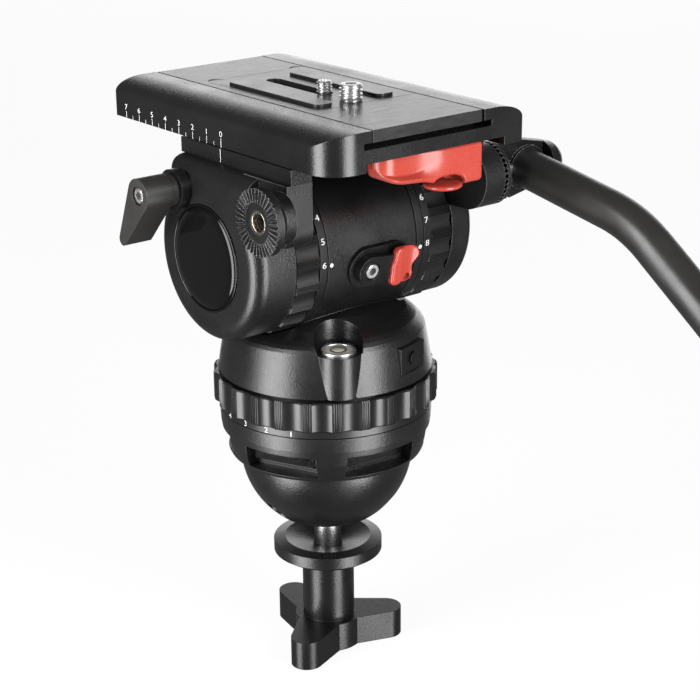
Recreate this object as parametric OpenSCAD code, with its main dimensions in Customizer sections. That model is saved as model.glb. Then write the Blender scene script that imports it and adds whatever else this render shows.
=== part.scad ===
// Fluid video head for a bowl tripod.
// Origin: centre of the levelling half ball, in the plane of its flat top.
// +X is the operator's right, +Y points to the lens, +Z is up. Millimetres.

/* [Bowl and base] */
// Diameter of the levelling half ball
ball_d = 75; // [60:1:100]
// Depth of the half ball below its flat top
ball_depth = 30; // [24:0.5:34]
// Radius of the lower base at its top edge
base_r = 45.8; // [44:0.5:60]
// Height of the lower base
base_h = 20.4; // [18:0.5:30]
// Number of windows around the lower base
window_n = 6; // [3:1:7]
// Height of each window
window_h = 11.5; // [6:0.5:13]
// Width of the pillar between two windows
pillar_w = 12.8; // [8:0.2:20]
// Radius of the tie-down stud
stud_r = 6; // [4:0.5:8]
// Travel of the tie-down cup to each side of rest
tie_travel = 6; // [3:0.5:8]
// Radius of the tie-down cup
cup_r = 24; // [18:0.5:30]
// Radius of the tie-down knob's neck
neck_r = 11.5; // [10:0.5:14]
// Length of the tie-down knob's neck
neck_len = 32; // [20:1:45]
// Reach of the knob's wings from the axis
wing_reach = 33; // [26:1:40]
// Height of the knob's wings
wing_h = 13; // [8:0.5:18]

/* [Pan] */
// Radius of the pan drag ring over its knurl
pan_ring_r = 48.2; // [47.6:0.2:60]
// Height of the pan drag ring
pan_ring_h = 17; // [15:0.2:22]
// Radius of the pan housing at its bottom edge
bell_r = 46; // [45:0.2:56]
// Height of the pan housing from its bottom edge to the crease
bell_h = 17.5; // [15:0.5:26]
// Thickness of the pan housing's wall
bell_wall = 5; // [3.5:0.5:7]
// Radius of the pan spindle
spindle_r = 14; // [10:0.5:16]
// Thickness of a drag disc
disc_t = 1.5; // [1:0.1:2]

/* [Tilt] */
// Radius of the tilt drum
drum_r = 35; // [33:0.5:42]
// Offset of the tilting frame's middle plane to the operator's left
tilt_left = 1.4; // [0:0.1:3]
// Width of the drum between the tilt rings
drum_w = 46.1; // [44:0.1:60]
// Width of the drum's band with the index dot
dot_w = 3.6; // [2.5:0.1:5]
// Width of a tilt ring
ring_w = 15.4; // [12:0.2:22]
// Width of a ring's number band
band_w = 3.7; // [3:0.1:5]
// Radius of the drum's spigots that carry the rings
spigot_r = 25; // [23:0.5:28]
// Radius of the drum's bore
bore_r = 20; // [18:0.5:22]
// Radius of the tilt shaft
shaft_r = 10; // [8:0.5:12]
// Thickness of the left housing
left_t = 19; // [16:0.5:26]
// Thickness of the right housing
right_t = 11.6; // [9:0.1:14]
// Radius of the badge on the left housing
badge_r = 22.3; // [18:0.1:24]

/* [Rosettes and handle] */
// Distance of the rosettes behind the tilt axis
ros_y = 42; // [40:0.5:50]
// Height of the rosettes above the tilt axis
ros_z = 24.5; // [23.5:0.1:25.5]
// Radius of a rosette
ros_r = 13.3; // [12:0.1:15]
// Number of rosette teeth
ros_n = 36; // [24:1:48]
// Radius of the rosettes' threaded hole
ros_hole_r = 3.8; // [3:0.1:5]
// Radius of the handle tube
tube_r = 8.3; // [7:0.1:9.5]
// Downward slope of the handle's first straight
tube_slope = 9.6; // [0:0.1:20]
// Length of the handle's first straight
tube_len1 = 52; // [40:1:80]
// Angle of the handle's bend
tube_bend = 25; // [10:1:45]
// Radius of the handle's bend
bend_r = 60; // [40:1:90]
// Length of the handle's second straight
tube_len2 = 290; // [200:5:350]
// Length of the handle's rubber grip
grip_len = 125; // [90:1:160]
// Radius of the handle's rubber grip
grip_r = 14; // [11:0.5:18]
// Spacing of the grip's finger grooves
rib_pitch = 4.8; // [3:0.2:8]

/* [Balance plate] */
// Width of the carriage
car_w = 97; // [92:0.5:110]
// Reach of the carriage in front of the tilt axis
car_front = 78.5; // [72:0.5:100]
// Reach of the carriage behind the tilt axis
car_back = 69; // [66:0.5:90]
// Height of the carriage
car_h = 15.8; // [14.6:0.1:20]
// Half width of the camera plate's channel at the top
chan_w = 28.2; // [26:0.1:32]
// Height of the fixed rail below the carriage
rail_h = 6.2; // [5:0.1:8]
// Reach of the fixed rail in front of the tilt axis
rail_front = 28.5; // [27:0.5:40]
// Reach of the fixed rail behind the tilt axis
rail_back = 46; // [44:0.5:50]
// Travel of the small camera stud in its slot
stud_travel = 34; // [10:1:36]
// Height of the grip pads on the camera plate
pad_h = 1.2; // [0.5:0.1:2]

/* [Controls] */
// Length of the carriage lock lever from its axis to its tip
lock_len = 27; // [20:0.5:36]
// Distance of a brake lever's grip from its screw
brake_reach = 15.5; // [13:0.5:20]
// Radius of the quick-release button
button_r = 7.8; // [6:0.2:10]
// Inward travel of the light button
light_travel = 0.8; // [0.4:0.1:1.2]

/* [Hidden] */
$fn = 96;
// Air between two pieces that move past each other
gap = 0.3;
// Radial clearance of a running fit
fit = 0.05;

// Heights of the pan stack
deck_t = 7;
ring_z0 = base_h + gap;
ring_z1 = ring_z0 + pan_ring_h;
bell_z0 = ring_z1 + gap;
crease_z = bell_z0 + bell_h;
tilt_z = crease_z + 5.5 + drum_r;
rim_r = pan_ring_r - 4.05;
rim_wall = 2.4;
rim_in = min(rim_r, base_r) - rim_wall;
band_h = 3.4;
pan_knurl_n = 25;
tilt_knurl_n = 22;
knurl_depth = 1.2;
window_turn = 25;
window_w = 2 * base_r * sin(180 / window_n) - pillar_w;
base_wall = 8;
stack_z = base_h + 3;
stator_air = 6.5;
disc_pitch = disc_t + 1;
stator_r = rim_r - stator_air;
spindle_z1 = crease_z - 6;
bearing_t = 9;
bearing_z0 = spindle_z1 - bearing_t - 0.5;
bell_in_r = bell_r - bell_wall - 1.8;

// Tie-down below the half ball
cup_h = 8;
cup_z0 = -ball_depth - 22;
knob_z1 = cup_z0 - gap;
knob_z0 = knob_z1 - neck_len - wing_h + 2;
knob_floor = 3;
wing_r = 7;
floor_t = 3;
floor_in_r = spindle_r + 8;
ball_screw_r = 2.5;
ball_head_r = 4.4;
ball_screw_d = ball_d * 0.36;
ball_sink = 8;

// Places along the tilt axis
x_drum_l = -drum_w / 2;
x_drum_r = drum_w / 2;
x_band_r = x_drum_r + dot_w;
x_ring_l = x_drum_l - gap - ring_w;
x_ring_r = x_band_r + gap + ring_w;
x_left_in = x_ring_l - gap;
x_left_out = x_left_in - left_t;
x_right_in = x_ring_r + gap;
x_right_out = x_right_in + right_t;
x_disc = x_drum_l + 4;
ring_r = drum_r + 0.4;
housing_r = drum_r - 0.2;
block_back = 28;
badge_rim = 1.2;
ros_up = 4;
x_ros_l = x_left_out - ros_up;
x_ros_r = x_right_out - 1.4;
tooth_h = 1;
ros_in_r = 8.2;
insert_wall = 1;
insert_len = 10.5;
x_insert_r = x_right_in + 2;
boss_round = 7;
boss_deep = 28;
boss_cone = 3;
boss_neck = 5;

// Heights above the tilt axis
rail_z0 = ring_r + 1.8;
rail_z1 = rail_z0 + rail_h;
car_z0 = rail_z1 + gap;
car_z1 = car_z0 + car_h;
floor_z0 = car_z0 + 3.4;
floor_z1 = car_z1 - 7;
lip_z = floor_z1 + 2.5;
rail_x = car_w / 2 + 0.5;
rail_screw_r = 2;
rail_screw_len = 10;
rail_head_r = 2.6;
rail_sink = 2.4;
gib_x = car_w / 2 - 4.3;
gib_neck = 1.3;
gib_head = 2.9;
gib_z = car_z0 + 2;
gib_top = gib_z + 2.2;
slot_l = 31;
slot_r = car_w / 2 - 9.5;
plate_w = chan_w - 0.8;
flange_w = chan_w + 3.6;
plate_z0 = floor_z1 + gap;
flange_z1 = lip_z - gap;
bridge_back = 4;
flange_back = 9;
clamp_y0 = -42;
clamp_y1 = 12;
car_round_w = 14;
car_round_h = 5.6;
car_corner = 13;
car_len = car_front + car_back;

// Quick-release lever
qr_x = 12;
qr_y = car_back - 6;
qr_top = floor_z0 - gap;
qr_bot = rail_z0 - 6.6;
qr_well = qr_bot + 4.6;
qr_edge = 18;
qr_tip = 36;
qr_nose = 6.2;
qr_slope = 24;
qr_lip = 12.3;
qr_heel = 14;
gib_rear = 22;
gib_mid = 13;
rail_screw_y = 18;
qr_rear = 4;
qr_front = 12;
scoop_x = -20;
scoop_deep = 3;
scoop_r = 34;

// Camera studs: 1/4 inch and 3/8 inch
small_r = 3.175;
large_r = 4.7625;
small_y = -3.8;
large_y = -21;
stud_head_h = 1;
large_head_r = 7.3;
large_head_h = 1.4;
shank_cut = 0.6;
washer_t = 1.3;
washer_r = 6.4;
washer_well = 3;
washer_z1 = plate_z0 + washer_well - gap;

// Grip pads
pad_x = 15.6;
pad_w = 8.8;
pad_y0 = -25;
pad_len = 59.6;
pad_round = 3;

// Carriage lock lever
lock_y = 16.5;
lock_z = 25.8;
lock_r = 7;
lock_pin_r = 4;
lock_pin_len = 12;
lock_tip_r = 2.6;
lock_w = 12.5;
lock_turn = 32;
collar_t = 4.5;
x_lock = x_left_out - collar_t - gap;
x_paddle = x_lock - 3 - lock_w;
lock_screw_r = 3.1;
lock_screw_h = 1.2;
screw_air = 0.8;
screw_sink = 0.8;
screw_low = 0.4;

// Brakes
brake_dip = 9.9;
brake_x = -4.5;
brake_half = 8.6;
brake_boss_z = drum_r + 1.5;
pan_brake_az = 15;
pan_brake_z = bell_z0 + 9.2;
pan_brake_seat = bell_r - 3.2;
pan_mount_t = 6.6;
hub_t = 3.4;
pan_hub_z = pan_brake_seat + pan_mount_t + gap;
pin_r = 3;
screw_r = 1.9;
screw_len = 2;
screw_head_r = 3.1;
brake_hub_r = 6.3;
brake_arm_r = 5.2;
brake_grip_t = 5.2;
brake_grip_w = 16.4;
brake_lobe_r = 3.9;
brake_toe_r = 3.4;
brake_thumb_r = 9;
brake_thumb_deep = 1.2;
brake_hole_r = 1.3;

// Level and light
level_az = -119.4;
level_d = 37.7;
level_r = 7.3;
level_boss_r = 9.75;
level_z = crease_z + 0.4;
light_az = -73.2;
light_z = bell_z0 + 10.7;
light_face = bell_r - 1.4;
light_w = 17;
light_h = 11.5;
light_r = 2.65;
light_t = 3;
light_in = 4.5;

// Handle clamp
clamp_in = x_ros_r + 2 * tooth_h + gap;
clamp_rim = 1.2;
tube_x = clamp_in + tube_r + 11.5;
clamp_flat = tube_x - tube_r + 0.6;
groove_w = 1.5;
clamp_out = tube_x + tube_r + 0.9;
clamp_end_r = 10;
tube_end = 6;
socket_r = tube_r + 1.4;
bolt_r = ros_hole_r - fit;
bolt_in = 6;
tube_wall = 2;
rib_deep = 1;
rib_half = 1.3;
rib_y0 = 12;
rib_n = floor((grip_len - 28) / rib_pitch);
tube_lap = 0.5;
cut_t = 1.5;

// Frames

module at_tilt() {
  translate([-tilt_left, 0, tilt_z]) children();
}

// Frame of the tilt brake: z runs outwards from the tilt axis, y up, x to the right
module at_tilt_brake() {
  at_tilt() rotate([brake_dip, 0, 0]) translate([brake_x, 0, 0]) rotate([90, 0, 0]) children();
}

// Frame of the pan brake: z runs outwards from the pan axis, y up
module at_pan_brake() {
  translate([0, 0, pan_brake_z]) rotate([0, 0, pan_brake_az]) rotate([90, 0, 90]) children();
}

// Frame of the light button: z runs outwards from the pan axis, y up
module at_light() {
  translate([0, 0, light_z]) rotate([0, 0, light_az]) rotate([90, 0, 90]) children();
}

module at_rail_screws() {
  for (y = [-rail_screw_y, rail_screw_y], x = [x_left_in - 4.5, x_right_in + 3.2])
    translate([x, y, 0]) children();
}

module at_ball_screws() {
  for (a = [60 : 120 : 300]) rotate([0, 0, a]) translate([ball_screw_d, 0, 0]) children();
}

module at_level() {
  rotate([0, 0, level_az]) translate([level_d, 0, 0]) children();
}

// Frame of the handle: origin on the rosette axis, -y along the tube
module at_handle() {
  at_tilt() translate([tube_x, -ros_y, ros_z]) rotate([tube_slope, 0, 0]) children();
}

// Shapes

module xcyl(r, x0, x1) {
  translate([x0, 0, 0]) rotate([0, 90, 0]) cylinder(r = r, h = x1 - x0);
}

module zcyl(r, z0, z1) {
  translate([0, 0, z0]) cylinder(r = r, h = z1 - z0);
}

module xtube(ro, ri, x0, x1) {
  difference() {
    xcyl(ro, x0, x1);
    xcyl(ri, x0 - 1, x1 + 1);
  }
}

module ztube(ro, ri, z0, z1) {
  difference() {
    zcyl(ro, z0, z1);
    zcyl(ri, z0 - 1, z1 + 1);
  }
}

module box(x0, x1, y0, y1, z0, z1) {
  translate([x0, y0, z0]) cube([x1 - x0, y1 - y0, z1 - z0]);
}

// Outline of two circles and their outer tangents
module drop2d(r1, r2, d) {
  a = acos((r1 - r2) / d);
  circle(r = r1);
  translate([d, 0]) circle(r = r2);
  polygon([[r1 * cos(a), r1 * sin(a)], [d + r2 * cos(a), r2 * sin(a)],
    [d + r2 * cos(a), -r2 * sin(a)], [r1 * cos(a), -r1 * sin(a)]]);
}

// Knurl outline: wide scallops, with three fine notches on each land
module knurl2d(r, n, depth) {
  sr = 0.16 * r;
  difference() {
    circle(r = r);
    for (i = [0 : n - 1]) rotate(i * 360 / n) {
      translate([r + sr - depth, 0]) circle(r = sr);
      for (j = [-1 : 1]) rotate(180 / n + j * 36 / n) translate([r + 0.1, 0]) circle(r = 0.55);
    }
  }
}

// Radial teeth standing on the plane z = 0
module teeth(r0, r1, n) {
  w = 2 * 3.1416 * r0 / n;
  for (i = [0 : n - 1]) rotate([0, 0, i * 360 / n]) translate([r0, 0, 0]) rotate([90, 0, 90])
    linear_extrude(height = r1 - r0) polygon([[-w * 0.62, 0], [w * 0.62, 0], [0, tooth_h]]);
}

// Hexagon-socket screw: head on the plane z = 0, shank downwards
module cap_screw(r, len, head_r, head_h) {
  difference() {
    union() {
      zcyl(r, -len, 0.1);
      zcyl(head_r, 0, head_h);
    }
    translate([0, 0, head_h * 0.4]) cylinder(r = head_r * 0.55, h = head_h, $fn = 6);
  }
}

// Bowl and base

module lower_base() color("#1b1b1d") difference() {
  union() {
    rotate_extrude() polygon([[floor_in_r, 0], [base_r - 4, 0], [base_r - 3, base_h * 0.1],
      [base_r - 1.3, base_h * 0.38], [base_r - 0.3, base_h * 0.7], [base_r, base_h],
      [spindle_r, base_h], [spindle_r, base_h - deck_t], [base_r - base_wall, base_h - deck_t],
      [base_r - base_wall, floor_t], [floor_in_r, floor_t]]);
    ztube(rim_r, rim_in, base_h - 0.1, base_h + band_h);
  }
  for (i = [0 : window_n - 1]) rotate([0, 0, window_turn + i * 360 / window_n])
    box(base_r - 1.5 * base_wall, base_r + 5, -window_w / 2, window_w / 2, floor_t / 2, window_h);
  at_ball_screws() zcyl(ball_screw_r, -1, floor_t + 1);
}

module half_ball() color("#202023") difference() {
  sphere(r = ball_d / 2);
  zcyl(ball_d, 0, ball_d);
  zcyl(ball_d, -ball_d, -ball_depth);
  zcyl(stud_r, -ball_d, 1);
  at_ball_screws() zcyl(ball_screw_r, -ball_d, 1);
  at_ball_screws() zcyl(ball_head_r, -ball_d, -ball_sink);
}

// Three screws from the half ball up into the base's floor
module ball_screws() color("#9a9a9c") at_ball_screws() translate([0, 0, -ball_sink]) rotate([180, 0, 0])
  cap_screw(ball_screw_r, ball_sink + floor_t - 0.2, ball_head_r, 4);

module tie_stud() color("#8d8d90") {
  zcyl(stud_r, knob_z0 + knob_floor + tie_travel + gap, 0.1);
  cylinder(r = stud_r * 1.75, h = 7, $fn = 6);
}

module pan_spindle() color("#a2a2a5") {
  zcyl(spindle_r, base_h - deck_t - 4, spindle_z1);
  zcyl(spindle_r + 9, base_h - deck_t - 4, base_h - deck_t);
}

// Drag discs fixed to the spindle
module pan_stator() color("#77777a") {
  ztube(spindle_r + 3, spindle_r, base_h, stack_z + 4 * disc_pitch);
  for (z = [stack_z, stack_z + 2 * disc_pitch]) ztube(stator_r, spindle_r + 2, z, z + disc_t);
}

// Drag discs hanging from the pan housing
module pan_rotor() color("#8a8a8d") {
  ztube(rim_r - 3, rim_r - 4.8, stack_z + disc_pitch, bell_z0);
  for (i = [1, 3]) translate([0, 0, stack_z + i * disc_pitch]) ztube(rim_r - 4, spindle_r + 4, 0, disc_t);
}

module tie_cup() color("#1f1f21") rotate_extrude()
  polygon([[stud_r + gap, cup_z0], [cup_r - 3, cup_z0], [cup_r, cup_z0 + cup_h / 4],
    [cup_r, cup_z0 + cup_h * 0.88], [cup_r - 5, cup_z0 + cup_h], [stud_r + gap, cup_z0 + cup_h / 2]]);

// Neck and three wings; it turns on the stud
module tie_knob() color("#1c1c1e") difference() {
  union() {
    zcyl(neck_r, knob_z0, knob_z1);
    linear_extrude_from(knob_z0, wing_h) {
      circle(r = neck_r + 3.5);
      for (a = [90 : 120 : 330]) rotate(a) drop2d(neck_r, wing_r, wing_reach - wing_r);
    }
  }
  zcyl(stud_r + fit, knob_z0 + knob_floor, knob_z1 + 1);
}

// Pan

module pan_drag_ring() color("#1a1a1c") difference() {
  union() {
    linear_extrude_from(ring_z0 + band_h, pan_ring_h - band_h) knurl2d(pan_ring_r, pan_knurl_n, knurl_depth);
    zcyl(pan_ring_r - 2.2, ring_z0, ring_z0 + band_h + 1);
  }
  zcyl(rim_r + fit, ring_z0 - 1, ring_z0 + band_h + 1);
  zcyl(rim_r - 1.5, ring_z0, ring_z1 + 1);
}

// Outer shape of the pan housing below the drum
module bell_outer() {
  c = bell_r - 2.5;
  rotate_extrude() polygon([[0, bell_z0], [bell_r, bell_z0], [bell_r - 0.5, bell_z0 + 3],
    [bell_r - 1.3, bell_z0 + 8], [c - 0.1, crease_z - 2.4], [c - 0.7, crease_z + 0.6],
    [c - 1.6, crease_z + 2.2], [c - 2.8, crease_z + 3.6], [c - 4.6, crease_z + 5.2],
    [c - 8.8, crease_z + 7.9], [c - 16, crease_z + 11], [c - 24, crease_z + 13.4], [0, crease_z + 14]]);
}

module pan_housing() color("#1d1d1f") difference() {
  union() {
    difference() {
      bell_outer();
      at_tilt() xcyl(ring_r + 0.8, -bell_r, x_drum_l - gap);
      at_tilt() xcyl(ring_r + 0.8, x_band_r + gap, bell_r);
      at_level() zcyl(level_boss_r + 0.4, level_z, tilt_z);
    }
    at_level() zcyl(level_boss_r, bell_z0, level_z);
    at_tilt() {
      xcyl(drum_r, x_drum_l, x_drum_r - 0.6);
      xcyl(drum_r - 0.7, x_drum_r - 1, x_drum_r + 0.1);
      xcyl(drum_r, x_drum_r, x_band_r);
      xcyl(spigot_r, x_ring_l, x_ring_r);
    }
  }
  at_tilt() xcyl(bore_r, x_ring_l - 1, x_ring_r + 1);
  difference() {
    zcyl(bell_in_r, bell_z0 - 1, crease_z - 4.5);
    zcyl(bore_r + 4, bearing_z0, crease_z);
  }
  zcyl(bore_r, bell_z0, bearing_z0 + bearing_t);
  zcyl(spindle_r + 2, bell_z0, crease_z - 4.5);
  at_level() zcyl(level_r - 1, level_z - 5, level_z + 1);
  at_light() translate([-light_w / 2, -light_h / 2, light_face - light_t]) cube([light_w, light_h, 10]);
  at_light() zcyl(light_r + 0.4, light_face - light_in - light_travel - gap, light_face);
  at_pan_brake() linear_extrude_from(pan_brake_seat, 12) brake_mount2d();
  at_pan_brake() zcyl(pin_r + 0.4, spindle_r + 10, bell_r);
  at_tilt_brake() zcyl(pin_r + 0.4, bore_r + 4, drum_r + 2);
}

module linear_extrude_from(z0, h) {
  translate([0, 0, z0]) linear_extrude(height = h) children();
}

// Inner race bore runs on the spindle
module pan_bearing() color("#b4b4b6") ztube(bore_r, spindle_r + fit, bearing_z0, bearing_z0 + bearing_t);

module level_bezel() color("#c9c9cb") at_level() difference() {
  zcyl(level_r, level_z, level_z + 1.6);
  zcyl(level_r - 1.6, level_z - 1, level_z + 3);
}

module level_vial() color("#cfd6b0") at_level() {
  zcyl(level_r - 1.6, level_z, level_z + 1.6);
  zcyl(level_r - 1, level_z - 5, level_z);
}

module light_plate() color("#262628") at_light() difference() {
  translate([-light_w / 2, -light_h / 2, light_face - light_t]) cube([light_w, light_h, light_t]);
  zcyl(light_r + fit, light_face - 5, light_face + 1);
}

module light_button() color("#3a3a3d") at_light() {
  zcyl(light_r, light_face - light_in, light_face + 1);
}

// Drag discs inside the drum
module tilt_stator() color("#77777a") at_tilt() {
  xtube(bore_r, bore_r - 1.2, x_drum_l + 2, -1);
  for (i = [0 : 2 : 6]) translate([x_disc + i * disc_pitch, 0, 0]) xtube(bore_r - 1, shaft_r + 4, 0, disc_t);
}

module tilt_rotor() color("#8a8a8d") at_tilt() {
  xtube(shaft_r + 3, shaft_r, x_drum_l + 3, -1);
  for (i = [1 : 2 : 5]) translate([x_disc + i * disc_pitch, 0, 0]) xtube(bore_r - 2, shaft_r + 2, 0, disc_t);
}

module tilt_bearings() color("#b4b4b6") at_tilt() {
  xtube(bore_r, shaft_r + fit, x_ring_l, x_ring_l + bearing_t);
  xtube(bore_r, shaft_r + fit, x_ring_r - bearing_t, x_ring_r);
}

// Sleeve with the counterbalance springs
module balance_pack() color("#5a5a5e") at_tilt() xtube(bore_r, shaft_r + 1, 2, x_ring_r - bearing_t - 2);

// Brakes

module brake_mount2d() {
  circle(r = brake_half);
  translate([brake_reach - 1.6, 0]) circle(r = brake_half);
  translate([0, -brake_half]) square([brake_reach - 1.6, 2 * brake_half]);
}

// Black arm with its pivot pin; z = 0 at the arm's inner face
module brake_hub(pin_len) {
  difference() {
    linear_extrude(height = hub_t) hub2d();
    zcyl(screw_r, hub_t - screw_sink - screw_len, hub_t + 1);
    zcyl(screw_head_r + screw_air, hub_t - screw_sink, hub_t + 1);
  }
  zcyl(pin_r, -pin_len, 0.1);
}

module hub2d() {
  drop2d(brake_hub_r, brake_arm_r, brake_reach - 6);
}

// Outline of the red grip: a straight heel, a large upper lobe and a smaller lower one
module brake_grip2d() {
  x0 = brake_reach - 5.7;
  y0 = -brake_grip_w / 2;
  lobe = [brake_reach + 4, brake_grip_w / 2 - brake_lobe_r];
  toe = [brake_reach + 2.4, y0 + brake_toe_r];
  translate([x0, y0]) square([toe[0] - x0, brake_grip_w]);
  translate([x0, y0 + brake_toe_r]) square([lobe[0] - x0 + 0.8, lobe[1] - toe[1]]);
  translate([toe[0] - 1, 0]) square([lobe[0] - toe[0] + 1, brake_grip_w / 2]);
  translate(lobe) circle(r = brake_lobe_r);
  translate(toe) circle(r = brake_toe_r);
}

// Red grip over the end of the arm, hollowed for the thumb
module brake_grip() {
  difference() {
    linear_extrude(height = brake_grip_t) brake_grip2d();
    linear_extrude_from(-1, hub_t + 1) hub2d();
    translate([brake_reach + 3, 0, brake_grip_t + brake_thumb_r - brake_thumb_deep]) rotate([90, 0, 0])
      zcyl(brake_thumb_r, -brake_grip_w, brake_grip_w);
    translate([brake_reach + 2.8, 1.7 - brake_grip_w / 2, 0]) zcyl(brake_hole_r, -1, brake_grip_t + 1);
  }
}

module brake_screw() {
  translate([0, 0, hub_t - screw_sink]) cap_screw(screw_r, screw_len, screw_head_r, 1.2);
}

module tilt_brake_mount() color("#18181a") difference() {
  at_tilt_brake() difference() {
    linear_extrude_from(drum_r * 0.8, brake_boss_z - drum_r * 0.8) brake_mount2d();
    zcyl(pin_r + fit, 0, brake_boss_z + 1);
  }
  at_tilt() xcyl(drum_r, x_drum_l - 5, x_drum_r + 5);
}

module tilt_brake_hub() color("#161618") at_tilt_brake() translate([0, 0, brake_boss_z + gap]) brake_hub(8);

module tilt_brake_grip() color("#d8483a") at_tilt_brake() translate([0, 0, brake_boss_z + gap]) brake_grip();

module tilt_brake_screw() color("#c4c4c6") at_tilt_brake() translate([0, 0, brake_boss_z + gap])
  brake_screw();

module pan_brake_mount() color("#18181a") at_pan_brake() difference() {
  linear_extrude_from(pan_brake_seat, pan_mount_t) brake_mount2d();
  zcyl(pin_r + fit, 0, bell_r * 2);
}

module pan_brake_hub() color("#161618") at_pan_brake() translate([0, 0, pan_hub_z]) brake_hub(10);

module pan_brake_grip() color("#d8483a") at_pan_brake() translate([0, 0, pan_hub_z]) brake_grip();

module pan_brake_screw() color("#c4c4c6") at_pan_brake() translate([0, 0, pan_hub_z]) brake_screw();

// Tilt rings

module ring_knurl() {
  rotate([0, 90, 0]) linear_extrude(height = ring_w - band_w) knurl2d(ring_r, tilt_knurl_n, knurl_depth);
}

module tilt_drag_ring() color("#1b1b1d") at_tilt() difference() {
  union() {
    translate([x_ring_l, 0, 0]) ring_knurl();
    xcyl(drum_r, x_ring_l + 1, x_ring_l + ring_w);
    xcyl(drum_r - 1.4, x_ring_l, x_ring_l + 2);
  }
  xcyl(spigot_r + fit, x_ring_l - 1, x_ring_l + ring_w + 1);
}

module balance_ring() color("#1b1b1d") at_tilt() difference() {
  union() {
    translate([x_ring_r - ring_w + band_w, 0, 0]) ring_knurl();
    xcyl(drum_r, x_ring_r - ring_w, x_ring_r - 1);
  }
  xcyl(spigot_r + fit, x_ring_r - ring_w - 1, x_ring_r + 1);
}

// Tilting frame

// Disc about the tilt axis with a rounded outer edge; x = 0 at its inner face, growing to +x
module housing_disc(t, f) {
  rotate([0, 90, 0]) rotate_extrude() {
    square([housing_r - f, t]);
    square([housing_r, t - f]);
    translate([housing_r - f, t - f]) circle(r = f);
  }
}

// Upper block of a housing: shoulder curved from the outer face to the rail
module housing_block(t, inset, f) {
  e = t - inset;
  front = housing_r * 0.75;
  intersection() {
    translate([0, front, 0]) rotate([90, 0, 0]) linear_extrude(height = front + block_back) {
      square([t, rail_z0 - inset]);
      square([e, rail_z0]);
      translate([e, rail_z0 - inset]) circle(r = inset);
    }
    linear_extrude(height = rail_z0) {
      translate([0, -block_back]) square([t - f, block_back + front]);
      translate([0, -block_back]) square([t, block_back + front - f]);
      translate([t - f, front - f]) circle(r = f);
    }
  }
}

// Flat-backed block below the rail and the round collar that carries a rosette's teeth;
// a collar with a neck stands off the block
module rosette_boss(t, out, block, neck) {
  low = ros_z - ros_r;
  translate([0, -ros_y, ros_z]) rotate([0, 90, 0]) {
    if (neck > 0) {
      zcyl(ros_r - boss_cone, block - 0.1, block + neck);
      translate([0, 0, block + neck - 0.1]) cylinder(r1 = ros_r - boss_cone, r2 = ros_r, h = boss_cone + 0.1);
    }
    zcyl(ros_r, neck > 0 ? block + neck + boss_cone : 0, t + out);
    translate([0, 0, t + out]) teeth(ros_in_r, ros_r, ros_n);
  }
  rotate([90, 0, 90]) linear_extrude(height = block) {
    translate([boss_round - rail_back, low + boss_round]) circle(r = boss_round);
    translate([boss_round - rail_back, low]) square([boss_deep - boss_round, rail_z0 - low]);
    translate([-rail_back, low + boss_round]) square([boss_deep, rail_z0 - low - boss_round]);
  }
}

module left_housing() color("#1c1c1e") at_tilt() difference() {
  mirror([1, 0, 0]) translate([-x_left_in, 0, 0]) {
    housing_disc(left_t, 6);
    housing_block(left_t, max(1, left_t - (rail_x + x_left_in)), 5);
    rosette_boss(left_t, ros_up, left_t - 7, boss_neck);
  }
  xcyl(shaft_r, x_left_out + 5, x_left_in + 1);
  xcyl(badge_r, x_left_out - 1, x_left_out + 1);
  translate([0, -ros_y, ros_z]) xcyl(ros_hole_r + insert_wall, x_ros_l - 5, x_ros_l + insert_len);
  translate([0, lock_y, lock_z]) xcyl(lock_pin_r + fit, x_left_out - 1, x_left_out + lock_pin_len + 2);
  at_rail_screws() zcyl(rail_screw_r, rail_z0 - rail_screw_len, rail_z0 + 1);
}

module right_housing() color("#1c1c1e") at_tilt() difference() {
  translate([x_right_in, 0, 0]) {
    housing_disc(right_t, 3);
    housing_block(right_t, max(1, right_t - (rail_x - x_right_in)), 4);
    rosette_boss(right_t, x_ros_r - x_right_out, right_t - 6, 0);
  }
  xcyl(shaft_r, x_right_in - 1, x_right_out - 3);
  translate([0, -ros_y, ros_z]) xcyl(ros_hole_r + insert_wall, x_insert_r, x_ros_r + 5);
  box(x_right_in - 1, rail_x + gap, -ros_y - ros_r, 0, rail_z0, rail_z1);
  at_rail_screws() zcyl(rail_screw_r, rail_z0 - rail_screw_len, rail_z0 + 1);
}

// Domed badge with its rim
module badge() color("#0c0c0d") at_tilt() {
  xtube(badge_r, badge_r - badge_rim, x_left_out - 0.9, x_left_out + 1);
  mirror([1, 0, 0]) translate([-x_left_out - 1, 0, 0]) rotate([0, 90, 0]) rotate_extrude()
    polygon([[0, 0], [badge_r - badge_rim, 0], [badge_r - badge_rim, 1.5], [badge_r * 0.8, 2],
      [badge_r * 0.5, 2.4], [0, 2.6]]);
}

// Threaded inserts of both rosettes
module rosette_inserts() color("#b59a5b") at_tilt() translate([0, -ros_y, ros_z]) {
  xtube(ros_hole_r + insert_wall, ros_hole_r, x_ros_l, x_ros_l + insert_len);
  xtube(ros_hole_r + insert_wall, ros_hole_r, x_insert_r, x_ros_r);
}

module tilt_shaft() color("#a2a2a5") at_tilt() xcyl(shaft_r, x_left_out + 5, x_right_out - 3);

// Two side rails joined by a bridge in front of the drum
module top_rail() color("#1e1e20") at_tilt() difference() {
  union() {
    box(-rail_x, x_left_in, -rail_back, rail_front, rail_z0, rail_z1);
    box(x_right_in, rail_x, -rail_back, rail_front, rail_z0, rail_z1);
    box(x_left_in - 1, x_right_in + 1, -bridge_back, rail_front, rail_z0, rail_z1);
  }
  at_rail_screws() zcyl(rail_screw_r, rail_z0 - 1, rail_z1 + 1);
  at_rail_screws() zcyl(rail_head_r, rail_z1 - rail_sink, rail_z1 + 1);
}

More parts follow.
